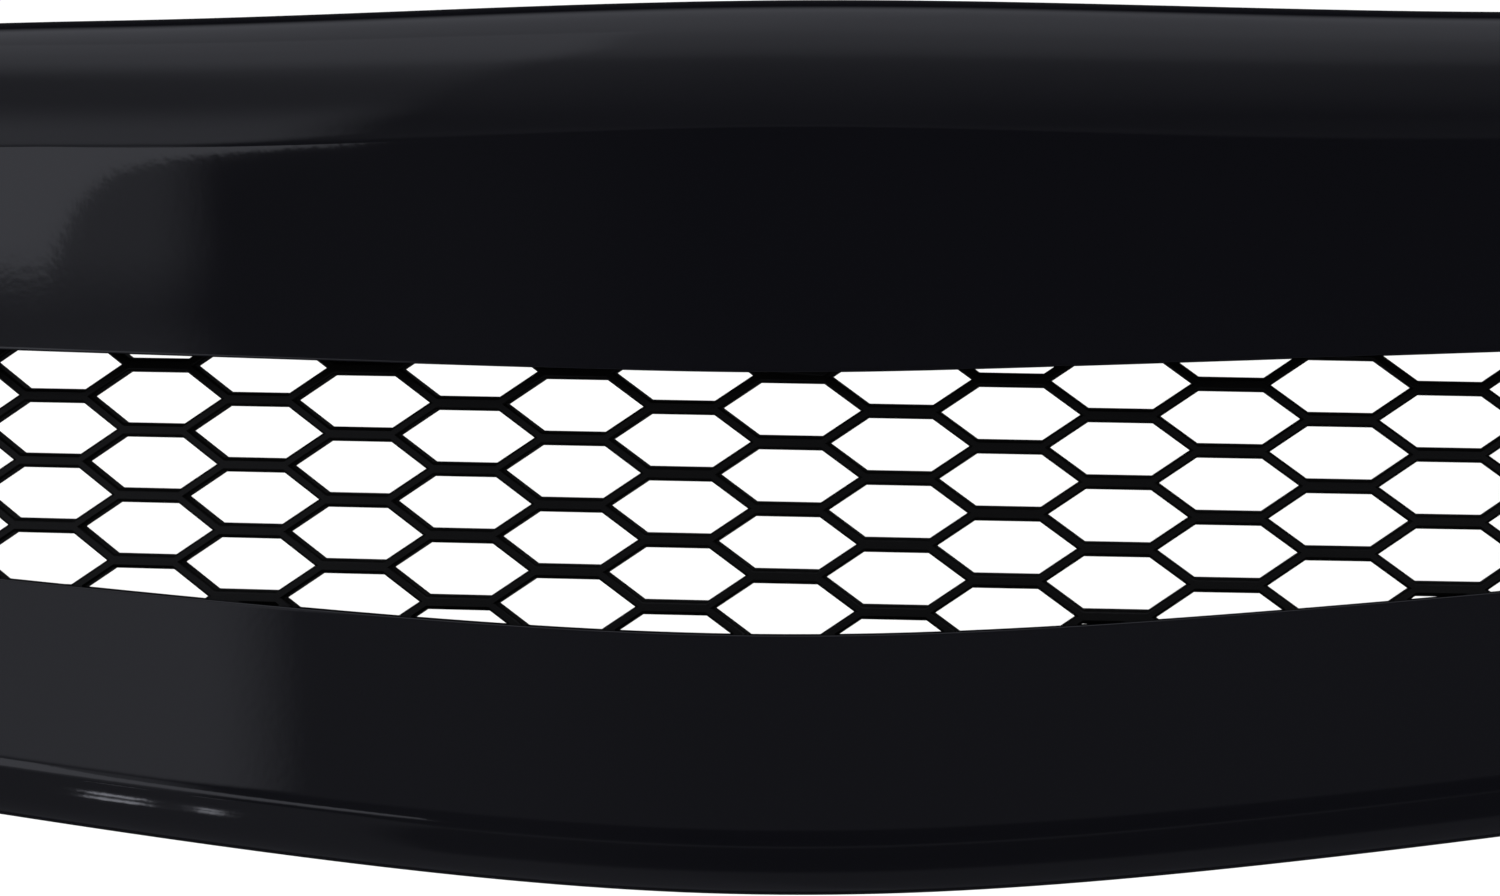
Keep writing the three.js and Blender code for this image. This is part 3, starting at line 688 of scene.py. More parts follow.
def top_tab(x, holed):
    bm = bmesh.new()
    half = TAB_HALF_WIDTH if holed else SEAT_HALF_WIDTH
    if holed:
        reach = TAB_BACK - HOLE_BACK
        edges = holed_rectangle(bm, HOLE_RADIUS, half, reach)
        front = [edge for edge in edges if all(v.co.y < 0.01 - reach for v in edge.verts)]
        verts = new_ends(bmesh.ops.extrude_edge_only(bm, edges=front))[0]
        bmesh.ops.translate(bm, vec=(0, TAB_FRONT - HOLE_BACK + reach, 0), verts=verts)
    else:
        depth = TAB_BACK - TAB_FRONT
        middle = (TAB_BACK + TAB_FRONT) / 2 - HOLE_BACK
        bmesh.ops.create_grid(bm, x_segments=2, y_segments=2, size=1,
                              matrix=Matrix.Translation((0, middle, 0))
                              @ Matrix.Diagonal((half, depth / 2, 1, 1)))
    thicken(bm, bm.faces[:], (0, 0, TAB_THICK))
    corners = [edge for edge in bm.edges if all(
        abs(v.co.x) > half - 0.01 and v.co.y > TAB_BACK - HOLE_BACK - 0.01 for v in edge.verts)
        and abs(edge.verts[0].co.z - edge.verts[1].co.z) > 1]
    round_edges(bm, 4, segments=5, edges=corners)
    round_edges(bm, 0.4)
    place = (x, sweep(x) + HOLE_BACK, tab_height(x) - TAB_THICK / 2)
    bmesh.ops.translate(bm, vec=place, verts=bm.verts)
    return bm


def side_name(x):
    return "left" if x < 0 else "right"


for where, station in TAB_STATIONS.items():
    for x in (-station, station):
        new_piece(f"top_tab_{side_name(x)}_{where}", top_tab(x, True), "grille", bare_black,
                  stands_for=["front_shell"], slot="gloss_black_shell")
new_piece("seat_tab", top_tab(0, False), "grille", bare_black,
          stands_for=["front_shell"], slot="gloss_black_shell")


def brow_ribs():
    bm = bmesh.new()
    for x in mirrored(RIB_STATIONS):
        scale = feature_scale(x)
        verts = [bm.verts.new((x - RIB_THICK / 2, sweep(x) + back * scale,
                               edges_at(x)[0] + up * scale)) for back, up in RIB_OUTLINE]
        thicken(bm, [bm.faces.new(verts)], (RIB_THICK, 0, 0))
    round_edges(bm, 0.35)
    return bm


new_piece("brow_ribs", brow_ribs(), "grille", bare_black,
          stands_for=["front_shell"], slot="gloss_black_shell")


def screw_places():
    """(row, x, seat on the mesh's front face, direction out of its back) of each mesh screw."""
    places = []
    for x in mirrored(SCREW_STATIONS):
        for name, z in (("upper", slot_top(x) + SCREW_MARGIN),
                        ("lower", slot_bottom(x) - SCREW_MARGIN)):
            slope = mesh_front(x + 0.5, z) - mesh_front(x - 0.5, z)
            out = Vector((-slope, 1, -mesh_lean(x))).normalized()
            places.append((name, x, Vector((x, mesh_front(x, z), z)), out))
    return places


def boss_reach(seat, out):
    """How far the panel's back is in front of the seat, closed in on step by step."""
    reach = 5.0
    for _ in range(12):
        foot = seat - out * reach
        reach += (foot.y - panel_depth(foot.x, foot.z) - WALL / 2) * out.y
    return reach


def pointing(place, out):
    return Matrix.Translation(place) @ out.to_track_quat("Z", "Y").to_matrix().to_4x4()


def mesh_bosses():
    bm = bmesh.new()
    for _, _, seat, out in screw_places():
        reach = boss_reach(seat, out)
        place = pointing(seat - out * (reach + GAP) / 2, out)
        bmesh.ops.create_cone(bm, cap_ends=True, segments=24, radius1=BOSS_RADIUS + BOSS_DRAFT,
                              radius2=BOSS_RADIUS, depth=reach - GAP, matrix=place)
        for turn in range(4):
            fin = place @ Matrix.Rotation(math.radians(90 * turn + 45), 4, "Z")
            fin = fin @ Matrix.Translation(
                (BOSS_RADIUS + BOSS_FIN["out"], 0, -reach * BOSS_FIN["down"]))
            bmesh.ops.create_cube(bm, size=1, matrix=fin @ Matrix.Diagonal(
                (BOSS_FIN["wide"], BOSS_FIN["thick"], reach * BOSS_FIN["high"], 1)))
    round_edges(bm, 0.25)
    return bm


new_piece("mesh_bosses", mesh_bosses(), "grille", bare_black,
          stands_for=["front_shell"], slot="gloss_black_shell")


def side_block(side):
    inner, outer = sorted((side * BLOCK["inner"], side * BLOCK["outer"]))
    bm = bmesh.new()
    bmesh.ops.create_cube(bm, size=1)
    for vert in bm.verts:
        x = outer if vert.co.x > 0 else inner
        z = BLOCK["high"] if vert.co.z > 0 else BLOCK["low"]
        y = BLOCK["back"] if vert.co.y > 0 else panel_depth(x, z) + BLOCK["sunk"]
        vert.co = (x, y, z)
    long_way = [edge for edge in bm.edges if edge.calc_length() > 25]
    bmesh.ops.subdivide_edges(bm, edges=long_way, cuts=2, use_grid_fill=True)
    flat = [face for face in bm.faces if abs(face.normal.z) > 0.9]
    bmesh.ops.inset_individual(bm, faces=flat, thickness=BLOCK["wall"], depth=-BLOCK["cored"])
    round_edges(bm, 0.6)
    return bm


for side in (-1, 1):
    new_piece(f"side_block_{side_name(side)}", side_block(side), "grille", bare_black,
              stands_for=["front_shell"], slot="gloss_black_shell")


def under_lip(x):
    """The place and slant of a lower tab and of its clip."""
    slope = (edges_at(x + 1)[1] - edges_at(x - 1)[1]) / 2
    height = edges_at(x)[1] + LOWER_TAB["rise"] * feature_scale(x)
    return Matrix.Translation((x, sweep(x), height)) @ Matrix.Rotation(-math.atan(slope), 4, "Y")


def lower_tab(x):
    bm = bmesh.new()
    size = (2 * LOWER_TAB["half_width"], LOWER_TAB["back"], LOWER_TAB["thick"], 1)
    middle = Matrix.Translation((0, LOWER_TAB["back"] / 2, 0))
    bmesh.ops.create_cube(bm, size=1, matrix=middle @ Matrix.Diagonal(size))
    corners = [edge for edge in bm.edges if all(v.co.y > 1 for v in edge.verts)
               and abs(edge.verts[0].co.z - edge.verts[1].co.z) > 1]
    round_edges(bm, 3, segments=4, edges=corners)
    round_edges(bm, 0.35)
    bmesh.ops.transform(bm, matrix=under_lip(x), verts=bm.verts)
    return bm


for order, station in enumerate(LOWER_TABS, 1):
    for x in (-station, station):
        new_piece(f"lower_tab_{side_name(x)}_{order}", lower_tab(x), "grille", bare_black,
                  stands_for=["front_shell"], slot="gloss_black_shell")

# ---------------------------------------------------------------------------------------------
# Mesh insert. A moulding in satin black plastic that follows the sweep of the face and leans
# back: six-sided cells between bars with chamfered edges, a low wall round them, and a plain
# rim that lies on the back of the shell's bosses.
PITCH_X = 18.6
PITCH_Z = 11.3
BAR_FLAT = 5.255          # half the level part of the outline that two cells share
OPEN_WIDE = 11.8
OPEN_FLAT = 5.5
OPEN_HIGH = 4.4
BAR_DEPTH = 6.0
BAR_CROWN = ((0.5, 0.0), (0.8, 0.25), (0.96, 0.7), (1.0, 1.3))   # share of half bar, depth
MESH_TURN = math.radians(1.08)
MESH_COLUMNS = 15
MESH_ROWS = 3
CUT_MARGIN = 3.8          # where the bars end inside the wall round them
WALL_INNER = 3.3
WALL_OUTER = 4.3
RIM_MARGIN = 16.5
WALL_CHAMFER = 0.3
RIM_CHAMFER = 0.5

satin_black = moulded_black("satin_black_plastic", 0.0012, 0.33, 2600.0, 0.1, shine=0.2)


def mesh_cell():
    """One cell's share of the bars, front to back, about its own middle."""
    shared = PITCH_X - BAR_FLAT
    outline = [(shared, 0), (BAR_FLAT, PITCH_Z / 2), (-BAR_FLAT, PITCH_Z / 2),
               (-shared, 0), (-BAR_FLAT, -PITCH_Z / 2), (BAR_FLAT, -PITCH_Z / 2)]
    opening = [(OPEN_WIDE, 0), (OPEN_FLAT, OPEN_HIGH), (-OPEN_FLAT, OPEN_HIGH),
               (-OPEN_WIDE, 0), (-OPEN_FLAT, -OPEN_HIGH), (OPEN_FLAT, -OPEN_HIGH)]
    bm = bmesh.new()
    face = bm.faces.new([bm.verts.new((x, 0, z)) for x, z in outline])
    edges = face.edges[:]
    bmesh.ops.delete(bm, geom=[face], context="FACES_ONLY")
    for share, depth in (*BAR_CROWN, (1, BAR_DEPTH / 2)):
        verts, edges = new_ends(bmesh.ops.extrude_edge_only(bm, edges=edges))
        for vert in verts:
            spot = Vector((vert.co.x, vert.co.z))
            nearest = min(range(6), key=lambda i: (Vector(outline[i]) - spot).length)
            into = Vector(outline[nearest]).lerp(Vector(opening[nearest]), share)
            vert.co = (into.x, depth, into.y)
    bmesh.ops.mirror(bm, geom=[*bm.verts, *bm.edges, *bm.faces], axis="Y", merge_dist=0.001,
                     matrix=Matrix.Translation((0, -BAR_DEPTH / 2, 0)))
    return bm


def cut_lines(x):
    """Points of the slot's outline near x, each with the direction out of the slot."""
    lines = []
    near = max(-SLOT_STRAIGHT, min(SLOT_STRAIGHT, x))
    picks = [((near, 0.0), 1), ((near, 0.0), -1)]
    if abs(x) > SLOT_STRAIGHT - PITCH_X:
        end = math.copysign(SLOT_STRAIGHT, x)
        picks += [((end, math.radians(angle)), side)
                  for angle in (20, 40, 60, 80) for side in (1, -1)]
    for (straight, angle), side in picks:
        step, turn = (0, 0.02) if angle else (1, 0)
        a = Vector(slot_point((straight - step, angle - turn), side, CUT_MARGIN))
        b = Vector(slot_point((straight + step, angle + turn), side, CUT_MARGIN))
        along = b - a
        out = Vector((-along.y, along.x))
        out = out if out.y * side > 0 else -out
        lines.append(((a + b) / 2, out.normalized()))
    return lines


def mesh_insert():
    """The honeycomb, cut to the slot's shape, with the wall and the rim round it."""
    cell_mesh = bpy.data.meshes.new("cell")
    cell = mesh_cell()
    cell.to_mesh(cell_mesh)
    cell.free()
    bm = bmesh.new()
    for column in range(-MESH_COLUMNS, MESH_COLUMNS + 1):
        for row in range(-MESH_ROWS, MESH_ROWS + 1):
            along = column * PITCH_X
            up = (row + (0.5 if column % 2 == 0 else 0)) * PITCH_Z
            tile = bmesh.new()
            tile.from_mesh(cell_mesh)
            bmesh.ops.translate(tile, vec=(along, 0, up), verts=tile.verts)
            bmesh.ops.rotate(tile, matrix=Matrix.Rotation(MESH_TURN, 3, "Y"), verts=tile.verts)
            middle = Matrix.Rotation(MESH_TURN, 3, "Y") @ Vector((along, 0, up))
            for point, out in cut_lines(middle.x):
                if max((Vector((v.co.x, v.co.z)) - point).dot(out) for v in tile.verts) > 0:
                    bmesh.ops.bisect_plane(
                        tile, geom=[*tile.verts, *tile.edges, *tile.faces], dist=0.001,
                        plane_co=(point.x, 0, point.y), plane_no=(out.x, 0, out.y),
                        clear_outer=True)
                if not tile.verts:
                    break
            piece = bpy.data.meshes.new("tile")
            tile.to_mesh(piece)
            tile.free()
            bm.from_mesh(piece)
            bpy.data.meshes.remove(piece)
    bpy.data.meshes.remove(cell_mesh)
    bmesh.ops.remove_doubles(bm, verts=bm.verts, dist=0.01)
    bmesh.ops.recalc_face_normals(bm, faces=bm.faces)
    for vert in bm.verts:
        vert.co.y += mesh_front(vert.co.x, vert.co.z)
    section = [(WALL_INNER, WALL_CHAMFER), (WALL_INNER + WALL_CHAMFER, 0),
               (RIM_MARGIN - RIM_CHAMFER, 0), (RIM_MARGIN, RIM_CHAMFER),
               (RIM_MARGIN, RIM_DEPTH - RIM_CHAMFER), (RIM_MARGIN - RIM_CHAMFER, RIM_DEPTH),
               (WALL_OUTER + RIM_CHAMFER, RIM_DEPTH), (WALL_OUTER, RIM_DEPTH + RIM_CHAMFER),
               (WALL_OUTER, BAR_DEPTH - WALL_CHAMFER), (WALL_OUTER - WALL_CHAMFER, BAR_DEPTH),
               (WALL_INNER + WALL_CHAMFER, BAR_DEPTH), (WALL_INNER, BAR_DEPTH - WALL_CHAMFER)]
    right = slot_stations()[::3] + [slot_stations()[-1]]
    columns = [(-straight, angle) for straight, angle in right[:0:-1]] + right
    trip = [(column, 1) for column in columns] + [(column, -1) for column in columns[::-1]]

    def rim_point(order, which):
        margin, depth = section[which]
        x, z = slot_point(*trip[order], margin)
        return x, mesh_front(x, z) + depth, z

    which = bm.verts.layers.int.new("which")
    first = []
    for i in range(len(section)):
        vert = bm.verts.new(rim_point(0, i))
        vert[which] = i
        first.append(vert)
    edges = [bm.edges.new(pair) for pair in zip(first, first[1:] + first[:1])]
    ring = set(first)
    for order in [*range(1, len(trip)), 0]:
        verts, edges = new_ends(bmesh.ops.extrude_edge_only(bm, edges=edges))
        for vert in verts:
            vert.co = rim_point(order, vert[which])
        ring |= set(verts)
    bmesh.ops.remove_doubles(bm, verts=list(ring), dist=0.001)
    rim = {face for vert in ring if vert.is_valid for face in vert.link_faces}
    bmesh.ops.recalc_face_normals(bm, faces=list(rim))
    return bm


new_piece("honeycomb_insert", mesh_insert(), "grille", satin_black,
          stands_for=["mesh_insert"], slot="satin_black_mesh", sharp=50)

# ---------------------------------------------------------------------------------------------
# Screws. Zinc-plated thread-forming screws with a low round head and a cross recess: twelve hold
# the mesh to its bosses, and two at each tip hold a bracket to its block.
MESH_SCREW = {"shank": 1.7, "head": 3.5, "high": 2.2}
SIDE_SCREW = {"shank": 2.2, "head": 4.4, "high": 2.6, "spread": 6.5, "deep": 15.0}
THREAD_PITCH = 1.3
THREAD_ROOT = 0.78        # share of the shank's radius
RECESS_TAPER = 0.72
SCREW_SHORT = 1.0         # the mesh screws end this far short of the panel
BRACKET_THICK = 2.0


def bright_zinc():
    material = bpy.data.materials.new("bright_zinc")
    tree = new_nodes(material)
    where = node(tree, "ShaderNodeTexCoord").outputs["Object"]
    spangle = node(tree, "ShaderNodeTexVoronoi", {"Vector": where, "Scale": 900.0})
    cloud = node(tree, "ShaderNodeTexNoise", {"Vector": where, "Scale": 240.0, "Detail": 4.0})
    colour = ramp(tree, cloud.outputs["Fac"], [
        (0.3, (0.36, 0.37, 0.38)), (0.55, (0.55, 0.56, 0.57)), (0.8, (0.66, 0.65, 0.6))])
    mixed = math_node(tree, "MULTIPLY_ADD", cloud.outputs["Fac"], 0.35, 0.12)
    bump = node(tree, "ShaderNodeBump",
                {"Height": spangle.outputs["Distance"], "Strength": 0.2, "Distance": 0.0001})
    zinc = node(tree, "ShaderNodeBsdfPrincipled", {
        "Base Color": colour, "Metallic": 1.0, "Roughness": mixed,
        "Normal": bump.outputs["Normal"]})
    node(tree, "ShaderNodeOutputMaterial", {"Surface": zinc.outputs[0]})
    return material


def turn_on(bm, edges, rings):
    """Carries a round edge loop through [radius, height] rings."""
    for radius, height in rings:
        verts, edges = new_ends(bmesh.ops.extrude_edge_only(bm, edges=edges))
        for vert in verts:
            flat = Vector((vert.co.x, vert.co.y, 0))
            vert.co = flat.normalized() * radius + Vector((0, 0, height))
    return edges


def cross_headed(rings, recess, arm, deep):
    """A turned piece that starts from a flat, cross-recessed top and follows the rings down."""
    bm = bmesh.new()
    bmesh.ops.create_circle(bm, cap_ends=True, segments=24, radius=recess,
                            matrix=Matrix.Translation((0, 0, rings[0][1])))
    for across in ((1, 0, 0), (0, 1, 0)):
        for offset in (-arm, arm):
            bmesh.ops.bisect_plane(bm, geom=[*bm.verts, *bm.edges, *bm.faces], dist=0.0001,
                                   plane_co=Vector(across) * offset, plane_no=across)
    edges = turn_on(bm, [edge for edge in bm.edges if edge.is_boundary], rings)
    bmesh.ops.contextual_create(bm, geom=edges)
    cross = []
    for face in bm.faces:
        middle = face.calc_center_median()
        inside = math.hypot(middle.x, middle.y) < recess
        if inside and middle.z > rings[0][1] - 0.01 and min(abs(middle.x), abs(middle.y)) < arm / 2:
            cross.append(face)
    verts = new_ends(bmesh.ops.extrude_face_region(bm, geom=cross))[0]
    for vert in verts:
        vert.co = Vector((vert.co.x * RECESS_TAPER, vert.co.y * RECESS_TAPER, vert.co.z - deep))
    bmesh.ops.recalc_face_normals(bm, faces=bm.faces)
    return bm


def thread_rings(shank, start, end):
    """Rings down a thread from start to end, with its crests a pitch apart."""
    rings = []
    height = start
    while height > end:
        rings += [(shank * THREAD_ROOT, height), (shank, height - THREAD_PITCH * 0.4),
                  (shank, height - THREAD_PITCH * 0.5)]
        height -= THREAD_PITCH
    return rings


def screw(size, deep):
    head, high, shank = size["head"], size["high"], size["shank"]
    rings = [(head * 0.56, high), (head * 0.8, high * 0.86), (head * 0.95, high * 0.55),
             (head, high * 0.2), (head * 0.97, 0), (shank, 0), (shank, -0.4)]
    rings += thread_rings(shank, -0.5, 2.4 - deep)
    rings += [(shank * 0.7, 1.2 - deep), (shank * 0.15, -deep)]
    return cross_headed(rings, head * 0.5, head * 0.11, high * 0.55)


zinc = bright_zinc()
for row_name, x, seat, out in screw_places():
    order = SCREW_STATIONS.index(abs(x)) + 1
    deep = RIM_DEPTH * out.y + GAP + boss_reach(seat, out) - SCREW_SHORT
    bm = screw(MESH_SCREW, deep)
    bmesh.ops.transform(bm, verts=bm.verts,
                        matrix=pointing(seat + out * (RIM_DEPTH * out.y + GAP), out))
    name = f"mesh_screw_{row_name}_{side_name(x)}_{order}"
    new_piece(f"{name}_turned", bm, "grille", zinc, stands_for=[name], slot="zinc_screw")
block_middle = (BLOCK["inner"] + BLOCK["outer"]) / 2, (BLOCK["low"] + BLOCK["high"]) / 2
for side in (-1, 1):
    for where, offset in (("inner", -SIDE_SCREW["spread"]), ("outer", SIDE_SCREW["spread"])):
        bm = screw(SIDE_SCREW, SIDE_SCREW["deep"])
        place = Vector((side * (block_middle[0] + offset),
                        BLOCK["back"] + 2 * GAP + BRACKET_THICK, block_middle[1]))
        bmesh.ops.transform(bm, matrix=pointing(place, Vector((0, 1, 0))), verts=bm.verts)
        name = f"side_screw_{side_name(side)}_{where}"
        new_piece(f"{name}_turned", bm, "grille", zinc, stands_for=[name], slot="zinc_screw")

# ---------------------------------------------------------------------------------------------
# Push retainers. Black nylon expanding rivets in the top tabs: a flanged body with four legs
# that spread when the cross-headed pin is pushed in, and let go when it is drawn out.
RETAINER = {"bore": 2.4, "shank": 4.0, "head": 9.0, "high": 2.0, "reach": 9.0}
PIN = {"shank": 2.0, "head": 6.0, "high": 1.6}
LEG_ANGLE = 68

nylon = moulded_black("black_nylon", 0.02, 0.48, 1300.0, 0.2)


def retainer_body():
    under, flange = GAP, GAP + RETAINER["high"]
    bore, shank, head = RETAINER["bore"], RETAINER["shank"], RETAINER["head"]
    foot = -TAB_THICK - RETAINER["reach"]
    bm = bmesh.new()
    verts = bmesh.ops.create_circle(bm, segments=40, radius=bore,
                                    matrix=Matrix.Translation((0, 0, flange)))["verts"]
    loop = list({edge for vert in verts for edge in vert.link_edges})
    turn_on(bm, loop, [(bore + 0.2, flange), (head - 0.9, flange), (head - 0.25, flange - 0.35),
                       (head, flange - 1.0), (head, under + 0.2), (head - 0.2, under),
                       (bore, under), (bore, flange)])
    bmesh.ops.remove_doubles(bm, verts=bm.verts, dist=0.001)
    leg = [(bore, under + 0.3), (shank - 0.35, under + 0.3), (shank - 0.35, -TAB_THICK - 0.3),
           (shank, -TAB_THICK - 1.6), (shank, -TAB_THICK - 3.6), (shank - 0.9, foot),
           (bore, foot)]
    for turn in range(4):
        before = set(bm.verts)
        face = bm.faces.new([bm.verts.new((radius, 0, height)) for radius, height in leg])
        bmesh.ops.spin(bm, geom=[face, *face.edges, *face.verts], cent=(0, 0, 0),
                       axis=(0, 0, 1), angle=math.radians(LEG_ANGLE), steps=7)
        fresh = [vert for vert in bm.verts if vert not in before]
        bmesh.ops.rotate(bm, matrix=Matrix.Rotation(math.radians(90 * turn + 11), 3, "Z"),
                         verts=fresh)
    bmesh.ops.recalc_face_normals(bm, faces=bm.faces)
    return bm


def retainer_pin():
    under = 2 * GAP + RETAINER["high"]
    high = under + PIN["high"]
    tip = 1 - TAB_THICK - RETAINER["reach"]
    head, shank = PIN["head"], PIN["shank"]
    rings = [(3.2, high), (head - 1.1, high - 0.05), (head - 0.3, high - 0.45),
             (head, under + 0.3), (head - 0.2, under), (shank, under), (shank, tip + 4),
             (shank * 0.8, tip + 3.4), (shank * 0.8, tip + 2.6), (shank, tip + 2),
             (shank * 0.45, tip)]
    return cross_headed(rings, 3.0, 0.55, 1.1)


for where, station in TAB_STATIONS.items():
    for x in (-station, station):
        place = (x, sweep(x) + HOLE_BACK, tab_height(x) + TAB_THICK / 2)
        label = f"{side_name(x)}_{where}"
        bm = retainer_body()
        bmesh.ops.translate(bm, vec=place, verts=bm.verts)
        new_piece(f"retainer_{label}_body", bm, "grille", nylon,
                  stands_for=[f"retainer_body_{label}"], slot="black_nylon")
        bm = retainer_pin()
        bmesh.ops.translate(bm, vec=place, verts=bm.verts)
        new_piece(f"retainer_{label}_pin", bm, f"pin_{label}", nylon,
                  stands_for=[f"retainer_pin_{label}"], slot="black_nylon")

# ---------------------------------------------------------------------------------------------
# Lower clips. Spring steel strip, blanked and folded round the back edge of each lower tab, with
# the upper leg's mouth flared so that it slides on, then hardened and phosphated.
CLIP = {"half_width": 7.0, "thick": 0.8, "reach": 16.0, "flare": 1.6}
BEND_RADIUS = 1.4


def plain_steel(name, dark, light, rough, metal, mottle):
    material = bpy.data.materials.new(name)
    tree = new_nodes(material)
    where = node(tree, "ShaderNodeTexCoord").outputs["Object"]
    cloud = node(tree, "ShaderNodeTexNoise", {"Vector": where, "Scale": mottle, "Detail": 5.0})
    grains = node(tree, "ShaderNodeTexNoise", {"Vector": where, "Scale": 2500.0, "Detail": 2.0})
    colour = ramp(tree, cloud.outputs["Fac"], [(0.35, dark), (0.7, light)])
    roughness = node(tree, "ShaderNodeMapRange", {
        "Value": cloud.outputs["Fac"], "To Min": rough - 0.1, "To Max": rough + 0.12})
    bump = node(tree, "ShaderNodeBump",
                {"Height": grains.outputs["Fac"], "Strength": 0.25, "Distance": 0.0001})
    steel = node(tree, "ShaderNodeBsdfPrincipled", {
        "Base Color": colour, "Metallic": metal, "Roughness": roughness.outputs["Result"],
        "Normal": bump.outputs["Normal"]})
    node(tree, "ShaderNodeOutputMaterial", {"Surface": steel.outputs[0]})
    return material


def folded_strip(path, half_width, cuts=1):
    """A thin strip along a [y, z] path, half_width to each side of x = 0."""
    bm = bmesh.new()
    start = [bm.verts.new((half_width * (2 * i / cuts - 1), *path[0])) for i in range(cuts + 1)]
    edges = [bm.edges.new(pair) for pair in zip(start, start[1:])]
    for (y0, z0), (y1, z1) in zip(path, path[1:]):
        verts, edges = new_ends(bmesh.ops.extrude_edge_only(bm, edges=edges))
        bmesh.ops.translate(bm, vec=(0, y1 - y0, z1 - z0), verts=verts)
    return bm


def bend(centre, radius, start, end, steps=5):
    turns = [math.radians(start + (end - start) * i / steps) for i in range(steps + 1)]
    return [(centre[0] + radius * math.cos(t), centre[1] + radius * math.sin(t)) for t in turns]


def lower_clip(x):
    inner = LOWER_TAB["thick"] / 2 + GAP
    web = LOWER_TAB["back"] + GAP
    front = LOWER_TAB["back"] - CLIP["reach"]
    path = [(front, -inner), (front + 5, -inner)]
    path += bend((web - BEND_RADIUS, BEND_RADIUS - inner), BEND_RADIUS, -90, 0)
    path += bend((web - BEND_RADIUS, inner - BEND_RADIUS), BEND_RADIUS, 0, 90)
    path += [(front + 6, inner), (front + 3, inner + 0.15), (front - 1, inner + CLIP["flare"])]
    bm = folded_strip(path, CLIP["half_width"])
    corners = [vert for vert in bm.verts if sum(edge.is_boundary for edge in vert.link_edges) == 2
               and len(vert.link_faces) == 1]
    bmesh.ops.bevel(bm, geom=corners, offset=2, offset_type="OFFSET", segments=3, profile=0.5,
                    affect="VERTICES", clamp_overlap=True, material=-1)
    bmesh.ops.recalc_face_normals(bm, faces=bm.faces)
    lowest = min(bm.faces, key=lambda face: face.calc_center_median().z)
    if lowest.normal.z > 0:
        bmesh.ops.reverse_faces(bm, faces=bm.faces)
    bmesh.ops.transform(bm, matrix=under_lip(x), verts=bm.verts)
    return bm


spring_steel = plain_steel("phosphated_spring_steel", (0.035, 0.037, 0.04), (0.08, 0.082, 0.085),
                           0.42, 1.0, 90.0)
for order, station in enumerate(LOWER_TABS, 1):
    for x in (-station, station):
        label = f"{side_name(x)}_{order}"
        clip = new_piece(f"spring_clip_{label}", lower_clip(x), "grille", spring_steel,
                         stands_for=[f"lower_clip_{label}"], slot="spring_steel")
        sheet = clip.modifiers.new("sheet", "SOLIDIFY")
        sheet.thickness = CLIP["thick"] * MM
        sheet.offset = 1
        sheet.use_even_offset = True

# ---------------------------------------------------------------------------------------------
# Side brackets. Pressed steel angles, electro-coated black, screwed flat on the block at each
# tip. The long leg runs back and has the hole for the wing panel's bolt.
BRACKET = {"reach": 30.0, "hole": 3.5, "hole_from_end": 9.0, "bend": 2.6}


def side_bracket(side):
    high = BLOCK["high"] - BLOCK["low"]
    half = high / 2
    start = BLOCK["back"] + GAP
    outer = BLOCK["outer"] + BRACKET_THICK
    hole_at = start + BRACKET["reach"] - BRACKET["hole_from_end"]
    radius = BRACKET["bend"]
    path = [(BLOCK["inner"], start), (BLOCK["inner"] + 8, start)]
    path += bend((outer - radius, start + radius), radius, -90, 0)
    path.append((outer, hole_at - half))
    bm = folded_strip([(y - outer, z - hole_at) for y, z in path], half, cuts=8)
    flat = Matrix(((0, 1, 0, 0), (0, 0, 1, 0), (1, 0, 0, 0), (0, 0, 0, 1)))
    bmesh.ops.transform(bm, matrix=flat, verts=bm.verts)
    eye = bmesh.new()
    holed_rectangle(eye, BRACKET["hole"], half, half)
    bmesh.ops.transform(eye, verts=eye.verts, matrix=Matrix.Rotation(math.radians(90), 4, "Y"))
    eye_mesh = bpy.data.meshes.new("eye")
    eye.to_mesh(eye_mesh)
    eye.free()
    bm.from_mesh(eye_mesh)
    bpy.data.meshes.remove(eye_mesh)
    end = [edge for edge in bm.edges if all(v.co.y > half - 0.01 for v in edge.verts)]
    verts = new_ends(bmesh.ops.extrude_edge_only(bm, edges=end))[0]
    bmesh.ops.translate(bm, vec=(0, BRACKET["hole_from_end"] - half, 0), verts=verts)
    bmesh.ops.remove_doubles(bm, verts=bm.verts, dist=0.01)
    bmesh.ops.recalc_face_normals(bm, faces=bm.faces)
    if max(bm.faces, key=lambda face: face.calc_center_median().y).normal.x < 0:
        bmesh.ops.reverse_faces(bm, faces=bm.faces)
    bmesh.ops.translate(bm, vec=(outer, hole_at, (BLOCK["high"] + BLOCK["low"]) / 2),
                        verts=bm.verts)
    if side < 0:
        bmesh.ops.scale(bm, vec=(-1, 1, 1), verts=bm.verts)
        bmesh.ops.reverse_faces(bm, faces=bm.faces)
    return bm


coated_steel = plain_steel("coated_steel", (0.011, 0.011, 0.012), (0.017, 0.017, 0.018),
                           0.38, 0.25, 140.0)
for side in (-1, 1):
    name = f"side_bracket_{side_name(side)}"
    bracket = new_piece(f"{name}_pressed", side_bracket(side), "grille", coated_steel,
                        stands_for=[name], slot="coated_steel")
    sheet = bracket.modifiers.new("sheet", "SOLIDIFY")
    sheet.thickness = BRACKET_THICK * MM
    sheet.offset = -1
    sheet.use_even_offset = True
    edge = bracket.modifiers.new("edge", "BEVEL")
    edge.width = 0.3 * MM
    edge.segments = 2
    edge.limit_method = "ANGLE"
    edge.angle_limit = math.radians(60)

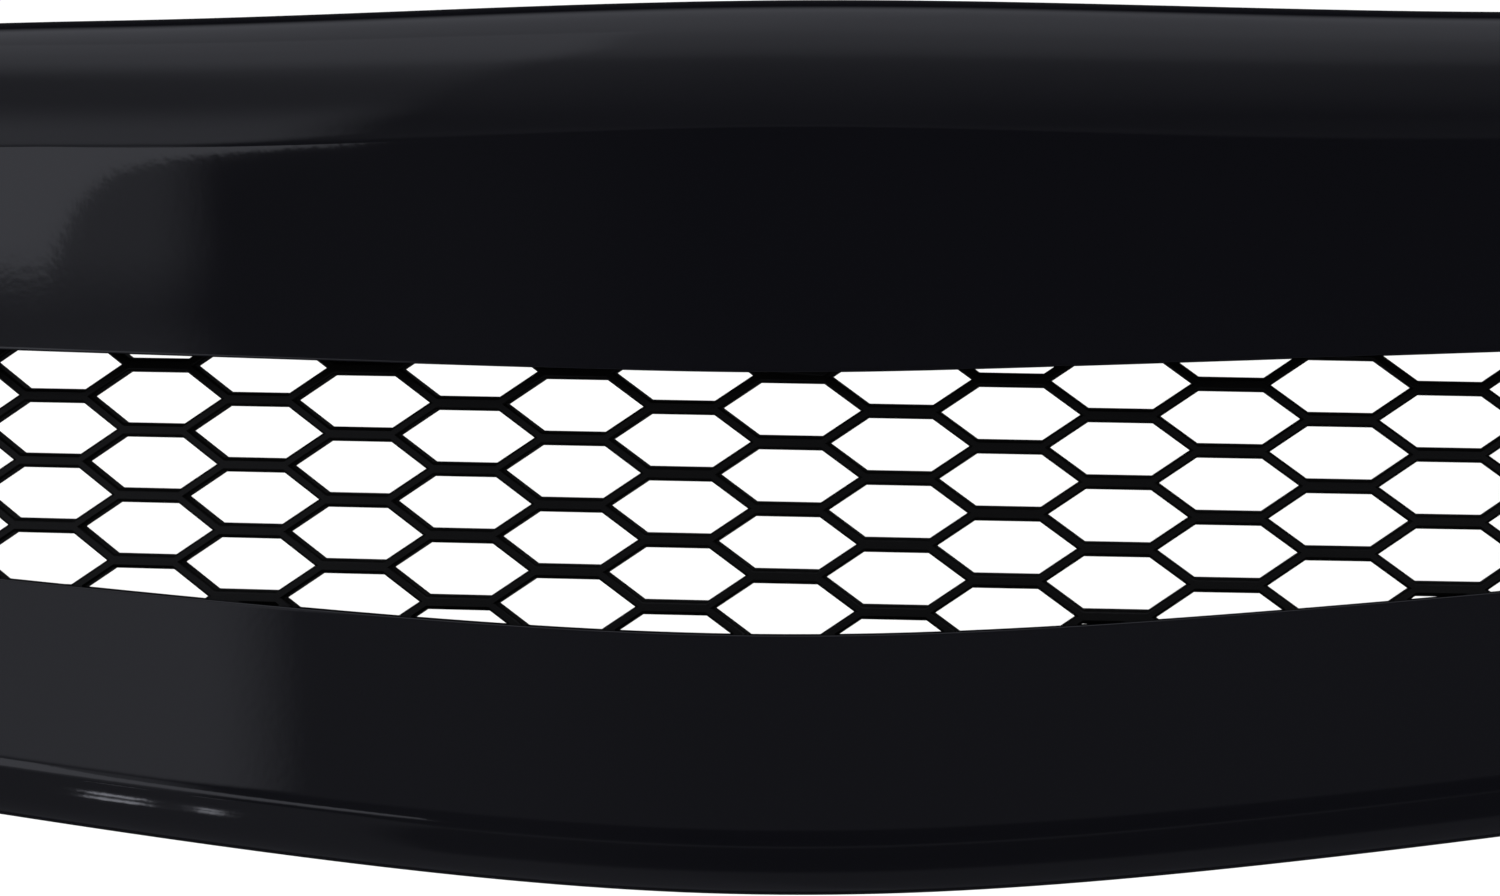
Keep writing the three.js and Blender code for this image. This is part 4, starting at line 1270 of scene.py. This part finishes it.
# ---------------------------------------------------------------------------------------------
# Top seals. Strips of closed-cell EPDM foam, die-cut and stuck on the top flange between the
# tabs, that close the gap to the panel above.
SEAL = {"thick": 4.0, "front": 17.5, "back": 28.5, "drop": 6}
SEALS = {"inner": (34, 79), "outer": (112, 245)}
SEAL_STEP = 6.0


def foam():
    material = bpy.data.materials.new("closed_cell_foam")
    tree = new_nodes(material)
    where = node(tree, "ShaderNodeTexCoord").outputs["Object"]
    cells = node(tree, "ShaderNodeTexVoronoi", {"Vector": where, "Scale": 1100.0},
                 feature="SMOOTH_F1")
    big = node(tree, "ShaderNodeTexVoronoi", {"Vector": where, "Scale": 420.0},
               feature="SMOOTH_F1")
    both = math_node(tree, "ADD", cells.outputs["Distance"], big.outputs["Distance"])
    # Painted shade: the colour follows the cells' depth, so the pits where the bump sinks are
    # painted darker than the ridges between them.
    colour = ramp(tree, both, [(0.3, grey(0.006)), (0.75, grey(0.03))])
    bump = node(tree, "ShaderNodeBump", {"Height": both, "Strength": 0.9, "Distance": 0.0006})
    body = node(tree, "ShaderNodeBsdfPrincipled", {
        "Base Color": colour, "Roughness": 0.95, "Normal": bump.outputs["Normal"],
        "Specular IOR Level": 0.15})
    node(tree, "ShaderNodeOutputMaterial", {"Surface": body.outputs[0]})
    return material


def top_seal(start, end):
    steps = max(2, round(abs(end - start) / SEAL_STEP))
    bm = bmesh.new()
    bmesh.ops.create_grid(bm, x_segments=steps, y_segments=2, size=0.5)
    thicken(bm, bm.faces[:], (0, 0, 1))
    for vert in bm.verts:
        x = start + (end - start) * (vert.co.x + 0.5)
        scale = feature_scale(x)
        back = SEAL["front"] + (SEAL["back"] - SEAL["front"]) * (vert.co.y + 0.5)
        base = edges_at(x)[0] - SEAL["drop"] * scale + GAP
        vert.co = (x, sweep(x) + back * scale, base + SEAL["thick"] * scale * vert.co.z)
    round_edges(bm, 0.7, segments=3)
    return bm


seal_foam = foam()
for where, (start, end) in SEALS.items():
    for side in (-1, 1):
        name = f"top_seal_{side_name(side)}_{where}"
        low, high = sorted((side * start, side * end))
        new_piece(f"{name}_foam", top_seal(low, high), "grille", seal_foam,
                  stands_for=[name], slot="foam_seal")
